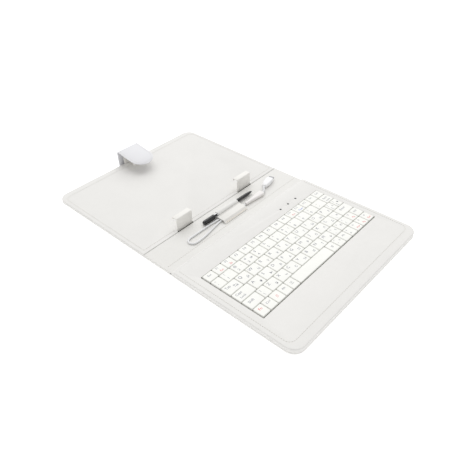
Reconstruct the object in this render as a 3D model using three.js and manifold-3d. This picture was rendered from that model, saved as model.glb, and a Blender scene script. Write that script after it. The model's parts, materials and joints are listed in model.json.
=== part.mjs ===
// Folding tablet case with a built-in keyboard, open flat with its inside up.
// Millimetres, +Z up. X runs along the key rows and Y from the front edge to the tablet.
// The origin is on the table, just in front of the tray on the tablet half.
import * as THREE from 'three';
import { mergeVertices } from 'three/addons/utils/BufferGeometryUtils.js';
import Module from 'manifold-3d';

const wasm = await Module();
wasm.setup();

// Overall sizes
const caseWidth = 265;
const coverLength = 192;
const keyboardLength = 195;
const cornerRadius = 15;
const spineWidth = 36.8;

// Small gaps
const seat = 0.3;
const cut = 1;

// Leather, boards and their levels
const skin = 1;
const boardThickness = 1;
const boardInset = 2.5;
const padHeight = 8;
const trayHeight = 4.8;
const trayBoardThickness = 0.9;
const spineBoardThickness = 2.2;
const boardBottom = skin + seat;
const boardTop = boardBottom + boardThickness;
const padBottom = boardTop + seat;
const spineBoardBottom = skin + seat;
const spineSkinBottom = spineBoardBottom + spineBoardThickness + seat;
const spineTop = spineSkinBottom + skin;

// Folds: the keyboard's is a crease in the outer skin, the cover's a soft bend behind the stylus
const foldHeight = skin / 2;
const coverFoldY = -3.2;
const keyboardFoldY = coverFoldY - spineWidth;
const skinSetBack = 0.7;
const trayEdgeY = 1.4;
const padRearFootY = keyboardFoldY - (spineTop - foldHeight) - 2.2;
const padRearSlope = 8;
const coverEndY = coverLength;
const keyboardEndY = keyboardFoldY - keyboardLength;

// Keys
const fieldWidth = 234.8;
const fieldCentreX = 0.9;
const fieldRearY = -84.8;
const letterPitch = 18.6;
const functionPitch = 15.9;
const smallKey = 13.5;
const spaceLength = 70.6;
const functionRowDepth = 14;
const rowDepth = 16;
const keyGap = 0.6;
const keyTravel = 1.4;
const keyRise = 1.2;
const keyTaper = 0.35;
const webThickness = 0.5;
const windowGap = 0.8;
const letterRows = 5;
const fieldDepth = functionRowDepth + letterRows * rowDepth;
const fieldFrontY = fieldRearY - fieldDepth;
const fieldLeftX = fieldCentreX - fieldWidth / 2;
const keyTop = padHeight + keyRise;
const backplateThickness = 0.5;
const membraneThickness = 0.3;
const domeSheetThickness = 0.4;
const membraneBottom = padBottom + backplateThickness + seat;
const domeSheetBottom = membraneBottom + membraneThickness + seat;
const domeSheetTop = domeSheetBottom + domeSheetThickness;
const keyBottom = domeSheetTop + keyTravel + 0.2;
const bezelWall = 2;
const bezelGap = 0.35;

// Status lights and the controller board under them
const lightPitch = 17;
const lightCentreX = 67;
const lightY = -73.4;
const lightRadius = 1.3;
const controllerWidth = 62;
const controllerDepth = 9;
const controllerThickness = 1.2;

// Tablet clips
const clipWidth = 27.5;
const clipSpan = 119.4;
const clipShiftX = 1.3;
const clipPlate = 0.9;
const clipHeight = 24;
const clipHook = 8.8;
const clipFrontY = 3;
const clipFoot = 28;
const clipFootZ = padBottom;
const elasticWidth = 9;
const elasticLength = 30;
const topClipSetBack = 1.3;
const topClipBackY = coverLength - topClipSetBack;
const topClipHook = 24.5;
const topClipHeight = 19.5;
const topClipLip = 9;
const sideClearance = 0.6;

// Closing strap
const strapWidth = 39;
const strapCentreX = 3;
const strapLayer = 0.9;
const strapStandOff = 5.4;
const strapLength = 52.4;
const strapOuterY = coverLength + strapStandOff;
const strapHeight = 27;
const strapTipY = strapOuterY - strapLength;
const strapTipZ = 19;
const strapBend = 2.8;
const magnetLength = 22;
const magnetDepth = 12;
const catchDepth = 14;

// Stylus
const stylusY = -15.2;
const barrelRadius = 2.6;
const capRadius = 3.3;
const capEndX = -42;
const capRearX = -21.5;
const pocketClipTurn = Math.PI / 4;
const tipFrontX = 25.4;
const stylusEndX = 57.4;
const stubRadius = 1.8;
const stubLength = 9;
const stylusZ = spineTop + seat + capRadius;

// Stylus loop, cable flap and cable
const loopStartX = -16;
const loopEndX = 24;
const loopClearance = 0.3;
const flapStartX = -20;
const flapEndX = 24.5;
const flapFrontY = -35.7;
const cableRadius = 1.5;
const cableZ = spineTop + seat + cableRadius;
const adapterStartX = 29.3;
const adapterLength = 36;
const adapterWidth = 10.4;
const adapterHeight = 4.8;
const adapterY = -28.1;
const plugX = 78.8;
const plugY = -20.9;
const plugTurn = 0.25;
const plugLength = 22;
const plugWidth = 11;
const plugHeight = 6.4;
const shellLength = 5;
const shellWidth = 7.6;
const shellHeight = 2.2;
const reliefRadius = 2;

// The cable's route over the spine, from the eyelet to the adapter
const cableRoute = [
  [15.5, -29.5], [9.3, -29.1], [1.3, -28.3], [-8.7, -27.3], [-18.7, -27], [-26.7, -27.6],
  [-34.7, -28.9], [-44.7, -30.9], [-54.7, -32.7], [-64.7, -33.7], [-74.1, -33.7], [-78.4, -31.9],
  [-80.2, -27.6], [-78.4, -23.3], [-74.1, -21.5], [-64.7, -21.4], [-52.7, -21.5], [-40.7, -21.5],
  [-30.7, -21.8], [-20.7, -22.8], [-10.7, -23.3], [-0.7, -23.5], [9.3, -24.1], [19.3, -25.7], [29, -27.5],
];
const reliefRoute = [
  [65.6, -28.5, 7.5], [68.3, -28.3, 7.6], [71.1, -27, 7.8], [73.3, -24.8, 8], [75.5, -22.8, 8.1], [78, -21.4, 8.2],
];

const paleLeather = { color: 0xececea, roughness: 0.62, metalness: 0 };
const boardGrey = { color: 0xa9a59c, roughness: 0.9, metalness: 0 };
const whitePlastic = { color: 0xf4f4ee, roughness: 0.45, metalness: 0 };
const clipBeige = { color: 0xd8d4cb, roughness: 0.5, metalness: 0 };
const blackPlastic = { color: 0x1b1b1c, roughness: 0.35, metalness: 0 };
const steel = { color: 0xb9bcc0, roughness: 0.3, metalness: 1 };

function solidOf(geometry) {
  const bare = geometry.clone();
  bare.deleteAttribute('normal');
  bare.deleteAttribute('uv');
  const merged = mergeVertices(bare, 1e-5);
  return new wasm.Manifold(new wasm.Mesh({
    numProp: 3,
    vertProperties: new Float32Array(merged.attributes.position.array),
    triVerts: new Uint32Array(merged.index.array),
  }));
}

function geometryOf(solid) {
  const mesh = solid.getMesh();
  const geometry = new THREE.BufferGeometry();
  geometry.setAttribute('position', new THREE.BufferAttribute(new Float32Array(mesh.vertProperties), 3));
  geometry.setIndex(new THREE.BufferAttribute(new Uint32Array(mesh.triVerts), 1));
  geometry.computeVertexNormals();
  return geometry;
}

function subtract(geometry, cutters) {
  let solid = solidOf(geometry);
  for (const cutter of cutters) {
    solid = solid.subtract(solidOf(cutter));
  }
  return geometryOf(solid);
}

function join(geometries) {
  let solid = solidOf(geometries[0]);
  for (const geometry of geometries.slice(1)) {
    solid = solid.add(solidOf(geometry));
  }
  return geometryOf(solid);
}

function intersect(first, second) {
  return geometryOf(solidOf(first).intersect(solidOf(second)));
}

// A box from its six limits
function block(x0, x1, y0, y1, z0, z1) {
  const geometry = new THREE.BoxGeometry(x1 - x0, y1 - y0, z1 - z0);
  return geometry.translate((x0 + x1) / 2, (y0 + y1) / 2, (z0 + z1) / 2);
}

// An outline with its own radius at each of its two ends along Y
function panelShape(x0, x1, y0, y1, frontRadius, rearRadius) {
  const front = Math.max(frontRadius, 0.01);
  const rear = Math.max(rearRadius, 0.01);
  const shape = new THREE.Shape();
  shape.moveTo(x0 + front, y0);
  shape.lineTo(x1 - front, y0);
  shape.absarc(x1 - front, y0 + front, front, -Math.PI / 2, 0);
  shape.lineTo(x1, y1 - rear);
  shape.absarc(x1 - rear, y1 - rear, rear, 0, Math.PI / 2);
  shape.lineTo(x0 + rear, y1);
  shape.absarc(x0 + rear, y1 - rear, rear, Math.PI / 2, Math.PI);
  shape.lineTo(x0, y0 + front);
  shape.absarc(x0 + front, y0 + front, front, Math.PI, 1.5 * Math.PI);
  return shape;
}

function raise(shape, z0, z1, segments = 6) {
  const options = { depth: z1 - z0, bevelEnabled: false, curveSegments: segments };
  return new THREE.ExtrudeGeometry(shape, options).translate(0, 0, z0);
}

// Half of the case in plan: the corners away from the fold are rounded
function coverPlan(inset, y0, y1) {
  const half = caseWidth / 2 - inset;
  const shape = new THREE.Shape();
  const radius = cornerRadius - inset;
  shape.moveTo(-half, y0);
  shape.lineTo(half, y0);
  shape.absarc(half - radius, y1 - radius, radius, 0, Math.PI / 2);
  shape.absarc(-half + radius, y1 - radius, radius, Math.PI / 2, Math.PI);
  return shape;
}

function keyboardPlan(inset, y0, y1) {
  const half = caseWidth / 2 - inset;
  const shape = new THREE.Shape();
  const radius = cornerRadius - inset;
  shape.moveTo(half, y1);
  shape.lineTo(-half, y1);
  shape.absarc(-half + radius, y0 + radius, radius, Math.PI, 1.5 * Math.PI);
  shape.absarc(half - radius, y0 + radius, radius, 1.5 * Math.PI, 2 * Math.PI);
  return shape;
}

// A profile in the YZ plane drawn out along X
function alongX(shape, x0, x1) {
  const geometry = new THREE.ExtrudeGeometry(shape, { depth: x1 - x0, bevelEnabled: false, curveSegments: 6 });
  const turn = new THREE.Matrix4().makeBasis(
    new THREE.Vector3(0, 1, 0),
    new THREE.Vector3(0, 0, 1),
    new THREE.Vector3(1, 0, 0),
  );
  return geometry.applyMatrix4(turn).translate(x0, 0, 0);
}

// The middle line of a bent sheet, with each inner corner rounded to one radius
function bentLine(corners, radius, steps = 4) {
  const points = corners.map(([y, z]) => new THREE.Vector2(y, z));
  const line = [points[0]];
  for (let i = 1; i < points.length - 1; i += 1) {
    const toBefore = points[i - 1].clone().sub(points[i]).normalize();
    const toAfter = points[i + 1].clone().sub(points[i]).normalize();
    const halfAngle = Math.acos(THREE.MathUtils.clamp(toBefore.dot(toAfter), -1, 1)) / 2;
    const reach = radius / Math.tan(halfAngle);
    const start = points[i].clone().addScaledVector(toBefore, reach);
    const end = points[i].clone().addScaledVector(toAfter, reach);
    const bend = new THREE.QuadraticBezierCurve(start, points[i], end);
    line.push(...bend.getPoints(steps));
  }
  line.push(points[points.length - 1]);
  return line;
}

// A sheet of one thickness along a middle line
function sheetShape(line, thickness) {
  const left = [];
  const right = [];
  for (let i = 0; i < line.length; i += 1) {
    const before = line[Math.max(i - 1, 0)];
    const after = line[Math.min(i + 1, line.length - 1)];
    const along = after.clone().sub(before).normalize();
    const across = new THREE.Vector2(-along.y, along.x).multiplyScalar(thickness / 2);
    left.push(line[i].clone().add(across));
    right.push(line[i].clone().sub(across));
  }
  return new THREE.Shape([...right, ...left.reverse()]);
}

// A turned solid about a line along X, its profile given as [x, radius]
function turned(profile, y, z, sides = 16) {
  const points = profile.map(([x, radius]) => new THREE.Vector2(radius, x));
  const geometry = new THREE.LatheGeometry(points, sides);
  return geometry.rotateZ(-Math.PI / 2).translate(0, y, z);
}

function tube(route, radius, steps) {
  const curve = new THREE.CatmullRomCurve3(route.map((point) => new THREE.Vector3(...point)), false, 'centripetal');
  const section = new THREE.Shape();
  section.absarc(0, 0, radius, 0, 2 * Math.PI);
  return new THREE.ExtrudeGeometry(section, { steps, extrudePath: curve, bevelEnabled: false, curveSegments: 8 });
}

const model = new THREE.Group();

function add(group, name, geometry, look) {
  const mesh = new THREE.Mesh(geometry, new THREE.MeshStandardMaterial(look));
  mesh.name = name;
  group.add(mesh);
  return mesh;
}

// ---------------------------------------------------------------- keyboard half

// The pad's solid, moved in by one distance: its rear side slopes down to the fold
function keyboardPadBody(inset, z0, top) {
  const slope = padRearSlope / (padHeight - spineTop);
  const slopeInset = Math.hypot(1, slope) * inset;
  const slopeY = (z) => padRearFootY - slope * (z - spineTop) - slopeInset;
  const footY = padRearFootY - inset;
  const bendZ = Math.max(z0, spineTop - (slopeInset - inset) / slope);
  const corners = [[keyboardEndY - cut, z0], [Math.min(footY, slopeY(z0)), z0]];
  if (bendZ > z0) {
    corners.push([footY, bendZ]);
  }
  corners.push([slopeY(top), top], [keyboardEndY - cut, top]);
  const profile = new THREE.Shape(corners.map(([y, z]) => new THREE.Vector2(y, z)));
  const bar = alongX(profile, -caseWidth, caseWidth);
  const plan = raise(keyboardPlan(inset, keyboardEndY + inset, padRearFootY), z0 - cut, top + cut);
  return intersect(bar, plan);
}

function windowBlock(grow, z0, z1) {
  return block(
    fieldLeftX - grow,
    fieldLeftX + fieldWidth + grow,
    fieldFrontY - grow,
    fieldRearY + grow,
    z0,
    z1,
  );
}

function buildKeyboardCase(group) {
  const outerEdge = keyboardFoldY - skinSetBack;
  add(group, 'keyboard_outer_skin', raise(keyboardPlan(0, keyboardEndY, outerEdge), 0, skin), paleLeather);

  const board = raise(keyboardPlan(boardInset, keyboardEndY + boardInset, padRearFootY), boardBottom, boardTop);
  const catchFrontY = keyboardEndY + 6;
  const catchHalf = strapWidth / 2;
  const pocket = block(
    strapCentreX - catchHalf - seat,
    strapCentreX + catchHalf + seat,
    catchFrontY - seat,
    catchFrontY + catchDepth + seat,
    boardBottom - cut,
    boardTop + cut,
  );
  add(group, 'keyboard_board', subtract(board, [pocket]), boardGrey);
  const catchPlate = block(
    strapCentreX - catchHalf,
    strapCentreX + catchHalf,
    catchFrontY,
    catchFrontY + catchDepth,
    boardBottom,
    boardTop,
  );
  add(group, 'strap_catch_plate', catchPlate, steel);

  const skinInside = padHeight - skin;
  const moduleGrow = windowGap + bezelWall + bezelGap;
  const foamTop = skinInside - seat;
  const foam = keyboardPadBody(skin + seat, padBottom, foamTop);
  const controllerPocket = block(
    lightCentreX - controllerWidth / 2 - seat,
    lightCentreX + controllerWidth / 2 + seat,
    lightY - controllerDepth / 2 - seat,
    lightY + controllerDepth / 2 + seat,
    padBottom - cut,
    padHeight,
  );
  const modulePocket = windowBlock(moduleGrow, padBottom - cut, padHeight);
  add(group, 'keyboard_foam_frame', subtract(foam, [modulePocket, controllerPocket]), boardGrey);

  const shell = keyboardPadBody(0, padBottom, padHeight);
  const hollow = keyboardPadBody(skin, padBottom - cut, skinInside);
  const holes = [hollow, windowBlock(windowGap, 0, padHeight + cut)];
  for (const step of [-1, 0, 1]) {
    const hole = new THREE.CylinderGeometry(lightRadius + seat, lightRadius + seat, 3 * skin, 12);
    hole.rotateX(Math.PI / 2).translate(lightCentreX + step * lightPitch, lightY, padHeight);
    holes.push(hole);
  }
  add(group, 'keyboard_inner_skin', subtract(shell, holes), paleLeather);
}

function buildKeyboardModule(group) {
  const plateGrow = windowGap + bezelWall;
  add(group, 'keyboard_backplate', windowBlock(plateGrow, padBottom, padBottom + backplateThickness), steel);
  const ringBottom = membraneBottom;
  const ring = subtract(
    windowBlock(plateGrow, ringBottom, padHeight - skin - seat),
    [windowBlock(windowGap, ringBottom - cut, padHeight)],
  );
  add(group, 'key_bezel', ring, { color: 0x8d8d7e, roughness: 0.6, metalness: 0 });
  const sheetGrow = windowGap - seat;
  const membrane = windowBlock(sheetGrow, membraneBottom, membraneBottom + membraneThickness);
  add(group, 'membrane_sheet', membrane, { color: 0xbfc7b4, roughness: 0.4, metalness: 0 });
  const domes = windowBlock(sheetGrow, domeSheetBottom, domeSheetTop);
  add(group, 'dome_sheet', domes, { color: 0xc9c8b6, roughness: 0.7, metalness: 0 });

  const controller = block(
    lightCentreX - controllerWidth / 2,
    lightCentreX + controllerWidth / 2,
    lightY - controllerDepth / 2,
    lightY + controllerDepth / 2,
    padBottom,
    padBottom + controllerThickness,
  );
  add(group, 'controller_board', controller, { color: 0x2f6b45, roughness: 0.5, metalness: 0 });
  const lensBottom = padBottom + controllerThickness + seat;
  const lensHeight = padHeight + 0.2 - lensBottom;
  ['num_lock', 'caps_lock', 'power'].forEach((use, index) => {
    const lens = new THREE.CylinderGeometry(lightRadius, lightRadius, lensHeight, 12);
    lens.rotateX(Math.PI / 2);
    const mesh = add(group, `light_${use}`, lens, blackPlastic);
    mesh.position.set(lightCentreX + (index - 1) * lightPitch, lightY, lensBottom + lensHeight / 2);
  });
}

// ---------------------------------------------------------------- keys

function keyRows() {
  const letters = (count) => Array(count).fill(letterPitch);
  const rows = [
    [...Array(12).fill(functionPitch), null, null, null],
    [14.3, ...letters(11), null],
    [23.5, ...letters(10), 12.6, null],
    [27.8, ...letters(9), 13.3, null],
    [23.5, smallKey, ...letters(7), smallKey, smallKey, smallKey, smallKey, null],
    [smallKey, smallKey, 14.5, smallKey, smallKey, spaceLength, ...Array(7).fill(null)],
  ];
  return rows.map((row) => {
    const given = row.reduce((sum, width) => sum + (width ?? 0), 0);
    const share = (fieldWidth - given) / row.filter((width) => width === null).length;
    return row.map((width) => width ?? share);
  });
}

function keycap(x0, x1, y0, y1) {
  const height = keyTop - keyBottom;
  const cap = new THREE.BoxGeometry(x1 - x0 - keyGap, y1 - y0 - keyGap, height);
  const place = cap.attributes.position;
  for (let i = 0; i < place.count; i += 1) {
    if (place.getZ(i) > 0) {
      place.setX(i, place.getX(i) - Math.sign(place.getX(i)) * keyTaper);
      place.setY(i, place.getY(i) - Math.sign(place.getY(i)) * keyTaper);
    }
  }
  return cap.translate((x0 + x1) / 2, (y0 + y1) / 2, keyBottom + height / 2);
}

const singleKeys = [
  { 0: 'key_escape' },
  { 12: 'key_backspace' },
  { 0: 'key_tab' },
  { 0: 'key_caps_lock', 11: 'key_enter' },
  { 0: 'key_shift_left', 12: 'key_arrow_up', 13: 'key_shift_right' },
  {
    0: 'key_function', 5: 'key_space', 10: 'key_arrow_left', 11: 'key_arrow_down', 12: 'key_arrow_right',
  },
];
const rowNames = ['function', 'number', 'upper', 'home', 'lower', 'space'];

// Keys that share a node are joined at their feet by a thin web
function joinedKeys(caps, y0, y1) {
  const first = caps[0];
  const last = caps[caps.length - 1];
  const web = block(
    first.x0 + keyGap,
    last.x1 - keyGap,
    y0 + keyGap,
    y1 - keyGap,
    keyBottom,
    keyBottom + webThickness,
  );
  return join([web, ...caps.map((cap) => keycap(cap.x0, cap.x1, y0, y1))]);
}

function buildKeys(group) {
  let rear = fieldRearY;
  keyRows().forEach((widths, row) => {
    const front = rear - (row === 0 ? functionRowDepth : rowDepth);
    let x = fieldLeftX;
    let run = [];
    let part = 0;
    const closeRun = () => {
      if (run.length > 0) {
        part += 1;
        add(group, `keys_${rowNames[row]}_row_${part}`, joinedKeys(run, front, rear), whitePlastic);
        run = [];
      }
    };
    widths.forEach((width, column) => {
      const name = singleKeys[row][column];
      if (name) {
        closeRun();
        add(group, name, keycap(x, x + width, front, rear), whitePlastic);
      } else {
        run.push({ x0: x, x1: x + width });
      }
      x += width;
    });
    closeRun();
    rear = front;
  });
}

// ---------------------------------------------------------------- spine

function buildSpine(group) {
  const half = caseWidth / 2;
  const front = keyboardFoldY + skinSetBack;
  const rear = coverFoldY - skinSetBack;
  add(group, 'spine_outer_skin', block(-half, half, front, rear, 0, skin), paleLeather);
  const boardTopZ = spineBoardBottom + spineBoardThickness;
  const board = block(-half + boardInset, half - boardInset, front + 1, rear - 1, spineBoardBottom, boardTopZ);
  add(group, 'spine_board', board, boardGrey);
  add(group, 'spine_inner_skin', block(-half, half, front, rear, spineSkinBottom, spineTop), paleLeather);
}

function arcPoints(radius, from, to, steps) {
  const points = [];
  for (let i = 0; i <= steps; i += 1) {
    const angle = from + ((to - from) * i) / steps;
    points.push(new THREE.Vector2(stylusY + radius * Math.cos(angle), stylusZ + radius * Math.sin(angle)));
  }
  return points;
}

function buildLoopAndFlap(group) {
  const middle = barrelRadius + loopClearance + skin / 2;
  const foot = spineTop + seat;
  const arch = arcPoints(middle, 0, Math.PI, 10);
  const rearFootY = stylusY + middle;
  const line = [
    new THREE.Vector2(rearFootY + 3.6, foot + skin / 2),
    new THREE.Vector2(rearFootY + 0.6, foot + skin / 2),
    new THREE.Vector2(rearFootY, foot + 1.6),
    ...arch,
    new THREE.Vector2(stylusY - middle, foot),
  ];
  add(group, 'stylus_loop', alongX(sheetShape(line, skin), loopStartX, loopEndX), paleLeather);

  const cableTop = cableZ + cableRadius + seat;
  const flapLine = bentLine([
    [stylusY - middle - skin - seat, stylusZ + 1.5],
    [stylusY - middle - skin - 1.4, cableTop + skin / 2 + 0.2],
    [-31.5, cableTop + skin / 2],
    [-33.9, foot + skin / 2],
    [flapFrontY, foot + skin / 2],
  ], 0.8, 3);
  add(group, 'cable_flap', alongX(sheetShape(flapLine, skin), flapStartX, flapEndX), {
    color: 0xe6e1d6, roughness: 0.65, metalness: 0,
  });
}

function buildCable(group) {
  const eyelet = block(15.8, 20.8, -31.1, -27.9, spineTop + seat, cableZ + cableRadius);
  add(group, 'cable_eyelet', eyelet, whitePlastic);
  const route = cableRoute.map(([x, y]) => [x, y, cableZ]);
  add(group, 'usb_cable', tube(route, cableRadius, 44), whitePlastic);

  const sides = [[0, 0.42], [0.3, 0.5], [0.72, 0.84], [0.93, 1], [1, 0.86]].map(([along, width]) => (
    new THREE.Vector2(adapterStartX + along * adapterLength, (width * adapterWidth) / 2)
  ));
  const lower = sides.map((point) => new THREE.Vector2(point.x, adapterY - point.y));
  const upper = sides.map((point) => new THREE.Vector2(point.x, adapterY + point.y));
  const adapterPlan = new THREE.Shape([...lower, ...upper.reverse()]);
  const adapterBottom = spineTop + seat;
  add(group, 'usb_adapter', raise(adapterPlan, adapterBottom, adapterBottom + adapterHeight, 4), whitePlastic);
  add(group, 'plug_strain_relief', tube(reliefRoute, reliefRadius, 8), whitePlastic);

  const plug = new THREE.Group();
  plug.position.set(plugX, plugY, spineTop + seat + plugHeight / 2);
  plug.rotation.z = plugTurn;
  group.add(plug);
  const bodyPlan = panelShape(0, plugLength, -plugWidth / 2, plugWidth / 2, 2.5, 2.5);
  add(plug, 'plug_body', raise(bodyPlan, -plugHeight / 2, plugHeight / 2, 4), whitePlastic);
  const shellStart = plugLength + seat;
  const shell = subtract(
    block(shellStart, shellStart + shellLength, -shellWidth / 2, shellWidth / 2, -shellHeight / 2, shellHeight / 2),
    [block(shellStart + 1, shellStart + shellLength + 1, -shellWidth / 2 + 0.4, shellWidth / 2 - 0.4, -0.7, 0.7)],
  );
  add(plug, 'plug_shell', shell, steel);
}

function buildStylus(group) {
  const barrel = [
    [capRearX - stubLength, 0],
    [capRearX - stubLength, stubRadius],
    [capRearX + seat, stubRadius],
    [capRearX + seat, barrelRadius],
    [tipFrontX - seat, barrelRadius],
    [tipFrontX - seat, stubRadius],
    [tipFrontX + stubLength, stubRadius],
    [tipFrontX + stubLength, 0],
  ];
  add(group, 'stylus_barrel', turned(barrel, stylusY, stylusZ), whitePlastic);
  const cap = [
    [capEndX, 0],
    [capEndX, capRadius - 1.4],
    [capEndX + 1.4, capRadius],
    [capRearX, capRadius],
    [capRearX, stubRadius + seat],
    [capRearX - stubLength - seat, stubRadius + seat],
    [capRearX - stubLength - seat, 0],
  ];
  const pocketClip = block(capEndX + 2, capRearX + 3.5, -1.6, 1.6, capRadius + 0.4, capRadius + 1.3);
  const clipRoot = block(capEndX + 2, capEndX + 5, -1.6, 1.6, capRadius - 1, capRadius + 1.3);
  const clips = [pocketClip, clipRoot].map((piece) => piece.rotateX(pocketClipTurn).translate(0, stylusY, stylusZ));
  const capGeometry = join([turned(cap, stylusY, stylusZ), ...clips]);
  add(group, 'stylus_cap', capGeometry, blackPlastic);
  const tip = [
    [tipFrontX, stubRadius + seat],
    [tipFrontX, barrelRadius],
    [tipFrontX + 12, barrelRadius - 0.2],
    [stylusEndX - 8, 1.9],
    [stylusEndX - 2, 1.2],
    [stylusEndX - 0.4, 0.6],
    [stylusEndX, 0],
    [tipFrontX + stubLength + seat, 0],
    [tipFrontX + stubLength + seat, stubRadius + seat],
    [tipFrontX, stubRadius + seat],
  ];
  add(group, 'stylus_tip', turned(tip, stylusY, stylusZ), blackPlastic);
}

// ---------------------------------------------------------------- tablet half

const clipFootTop = clipFootZ + clipPlate;
const trayTopSkin = trayHeight - skin;
const trayBoardTop = trayTopSkin - seat;
const trayBoardBottom = trayBoardTop - trayBoardThickness;
const trayBottom = boardTop + seat;
const lowerClips = [
  { name: 'left', x: clipShiftX - clipSpan / 2 },
  { name: 'right', x: clipShiftX + clipSpan / 2 },
];

// Room under the tray's board for a clip's foot and the elastic behind it
function clipChannel(x, front, back, elasticEnd) {
  const top = clipFootTop + seat;
  const half = clipWidth / 2 + sideClearance;
  const elasticHalf = elasticWidth / 2 + sideClearance;
  const low = Math.min(front, back);
  const high = Math.max(front, back);
  return [
    block(x - half, x + half, low, high, trayBottom - cut, top),
    block(
      x - elasticHalf,
      x + elasticHalf,
      Math.min(back, elasticEnd),
      Math.max(back, elasticEnd),
      trayBottom - cut,
      top,
    ),
  ];
}

function buildCover(group) {
  const outerPlan = raise(coverPlan(0, coverFoldY + skinSetBack, coverEndY), 0, skin);
  const strapHalf = strapWidth / 2;
  const tongue = block(
    strapCentreX - strapHalf,
    strapCentreX + strapHalf,
    coverEndY - 4,
    strapOuterY - 2 * strapLayer - 2 * seat,
    0,
    skin,
  );
  add(group, 'cover_outer_skin', join([outerPlan, tongue]), paleLeather);
  const boardPlan = coverPlan(boardInset, trayEdgeY + boardInset, coverEndY - boardInset);
  add(group, 'cover_board', raise(boardPlan, boardBottom, boardTop), boardGrey);
  const half = caseWidth / 2;
  const strip = block(-half, half, coverFoldY + skinSetBack, trayEdgeY - seat, spineSkinBottom, spineTop);
  add(group, 'cover_inner_skin', strip, paleLeather);

  const channels = [];
  const notches = [];
  const notchBack = clipFrontY + clipPlate + sideClearance;
  for (const clip of lowerClips) {
    const footEnd = clipFrontY + clipFoot + seat;
    channels.push(...clipChannel(clip.x, trayEdgeY - cut, footEnd, footEnd + elasticLength + 1));
    const notchHalf = clipWidth / 2 + sideClearance;
    notches.push(block(clip.x - notchHalf, clip.x + notchHalf, trayEdgeY - cut, notchBack, 0, trayHeight + cut));
  }
  const topFootStart = topClipBackY - clipFoot;
  channels.push(...clipChannel(strapCentreX, coverEndY + cut, topFootStart - seat, topFootStart - seat));
  const topHalf = clipWidth / 2 + sideClearance;
  notches.push(block(
    strapCentreX - topHalf,
    strapCentreX + topHalf,
    topClipBackY - clipPlate - sideClearance,
    coverEndY + cut,
    0,
    trayHeight + cut,
  ));

  const boardEdge = skin + seat;
  const trayBoard = raise(
    coverPlan(boardEdge, trayEdgeY + boardEdge, coverEndY - boardEdge),
    trayBoardBottom,
    trayBoardTop,
  );
  add(group, 'tray_board', subtract(trayBoard, [...channels, ...notches]), boardGrey);

  const wrap = raise(coverPlan(0, trayEdgeY, coverEndY), trayBottom, trayHeight);
  const inside = raise(coverPlan(skin, trayEdgeY + skin, coverEndY - skin), trayBottom - cut, trayTopSkin);
  add(group, 'tray_skin', subtract(wrap, [inside, ...notches]), paleLeather);
}

function clipSolid(corners, bend, x) {
  const profile = sheetShape(bentLine(corners, bend, 4), clipPlate);
  return alongX(profile, x - clipWidth / 2, x + clipWidth / 2);
}

function buildClips(group) {
  const halfPlate = clipPlate / 2;
  const footMiddle = clipFootZ + halfPlate;
  const frontMiddle = clipFrontY + halfPlate;
  const hookEnd = clipFrontY + clipHook - halfPlate;
  for (const clip of lowerClips) {
    const corners = [
      [clipFrontY + clipFoot, footMiddle],
      [frontMiddle, footMiddle],
      [frontMiddle, clipHeight - halfPlate],
      [hookEnd, clipHeight - halfPlate],
      [hookEnd, clipHeight - 3.4],
    ];
    add(group, `clip_${clip.name}`, clipSolid(corners, 0.9, clip.x), clipBeige);
    const start = clipFrontY + clipFoot + seat;
    const elastic = block(
      clip.x - elasticWidth / 2,
      clip.x + elasticWidth / 2,
      start,
      start + elasticLength,
      clipFootZ,
      clipFootZ + 0.9,
    );
    add(group, `clip_elastic_${clip.name}`, elastic, blackPlastic);
  }
  const backMiddle = topClipBackY - halfPlate;
  const lipMiddle = topClipBackY - topClipHook + halfPlate;
  const topCorners = [
    [topClipBackY - clipFoot, footMiddle],
    [backMiddle, footMiddle],
    [backMiddle, topClipHeight - halfPlate],
    [lipMiddle, topClipHeight - halfPlate],
    [lipMiddle, topClipHeight - topClipLip],
  ];
  add(group, 'clip_top', clipSolid(topCorners, 0.9, strapCentreX), clipBeige);
}

function strapLine(depth) {
  const backY = strapOuterY - depth;
  const slope = (strapHeight - strapTipZ) / (strapOuterY - strapTipY);
  const top = strapHeight - depth;
  return bentLine([
    [backY, 0.2],
    [backY, top],
    [strapTipY - 10, top - slope * (backY - strapTipY + 10)],
  ], strapBend - depth, 6);
}

function strapPlan(inset) {
  const half = strapWidth / 2 - inset;
  const tip = strapTipY + inset;
  const shape = new THREE.Shape();
  shape.moveTo(strapCentreX + half, strapOuterY + cut);
  shape.lineTo(strapCentreX - half, strapOuterY + cut);
  shape.lineTo(strapCentreX - half, tip + half);
  shape.absarc(strapCentreX, tip + half, half, Math.PI, 2 * Math.PI);
  return raise(shape, -cut, strapHeight + cut, 8);
}

function buildStrap(group) {
  const x0 = strapCentreX - strapWidth;
  const x1 = strapCentreX + strapWidth;
  const outer = alongX(sheetShape(strapLine(strapLayer / 2), strapLayer), x0, x1);
  add(group, 'strap_outer', intersect(outer, strapPlan(0)), paleLeather);

  const liningDepth = 1.5 * strapLayer + seat;
  const lining = alongX(sheetShape(strapLine(liningDepth), strapLayer), x0, x1);
  const magnetY = strapTipY + strapWidth / 2;
  const pocket = block(
    strapCentreX - magnetLength / 2 - seat,
    strapCentreX + magnetLength / 2 + seat,
    magnetY - magnetDepth / 2 - seat,
    magnetY + magnetDepth / 2 + seat,
    0,
    strapHeight,
  );
  const liningCut = intersect(lining, strapPlan(0.8));
  add(group, 'strap_lining', subtract(liningCut, [pocket]), paleLeather);
  const magnetPrism = block(
    strapCentreX - magnetLength / 2,
    strapCentreX + magnetLength / 2,
    magnetY - magnetDepth / 2,
    magnetY + magnetDepth / 2,
    0,
    strapHeight,
  );
  add(group, 'strap_magnet', intersect(lining, magnetPrism), steel);
}

buildKeyboardCase(model);
buildKeyboardModule(model);
buildKeys(model);
buildSpine(model);
buildLoopAndFlap(model);
buildCable(model);
buildStylus(model);
buildCover(model);
buildClips(model);
buildStrap(model);

export default model;
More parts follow.
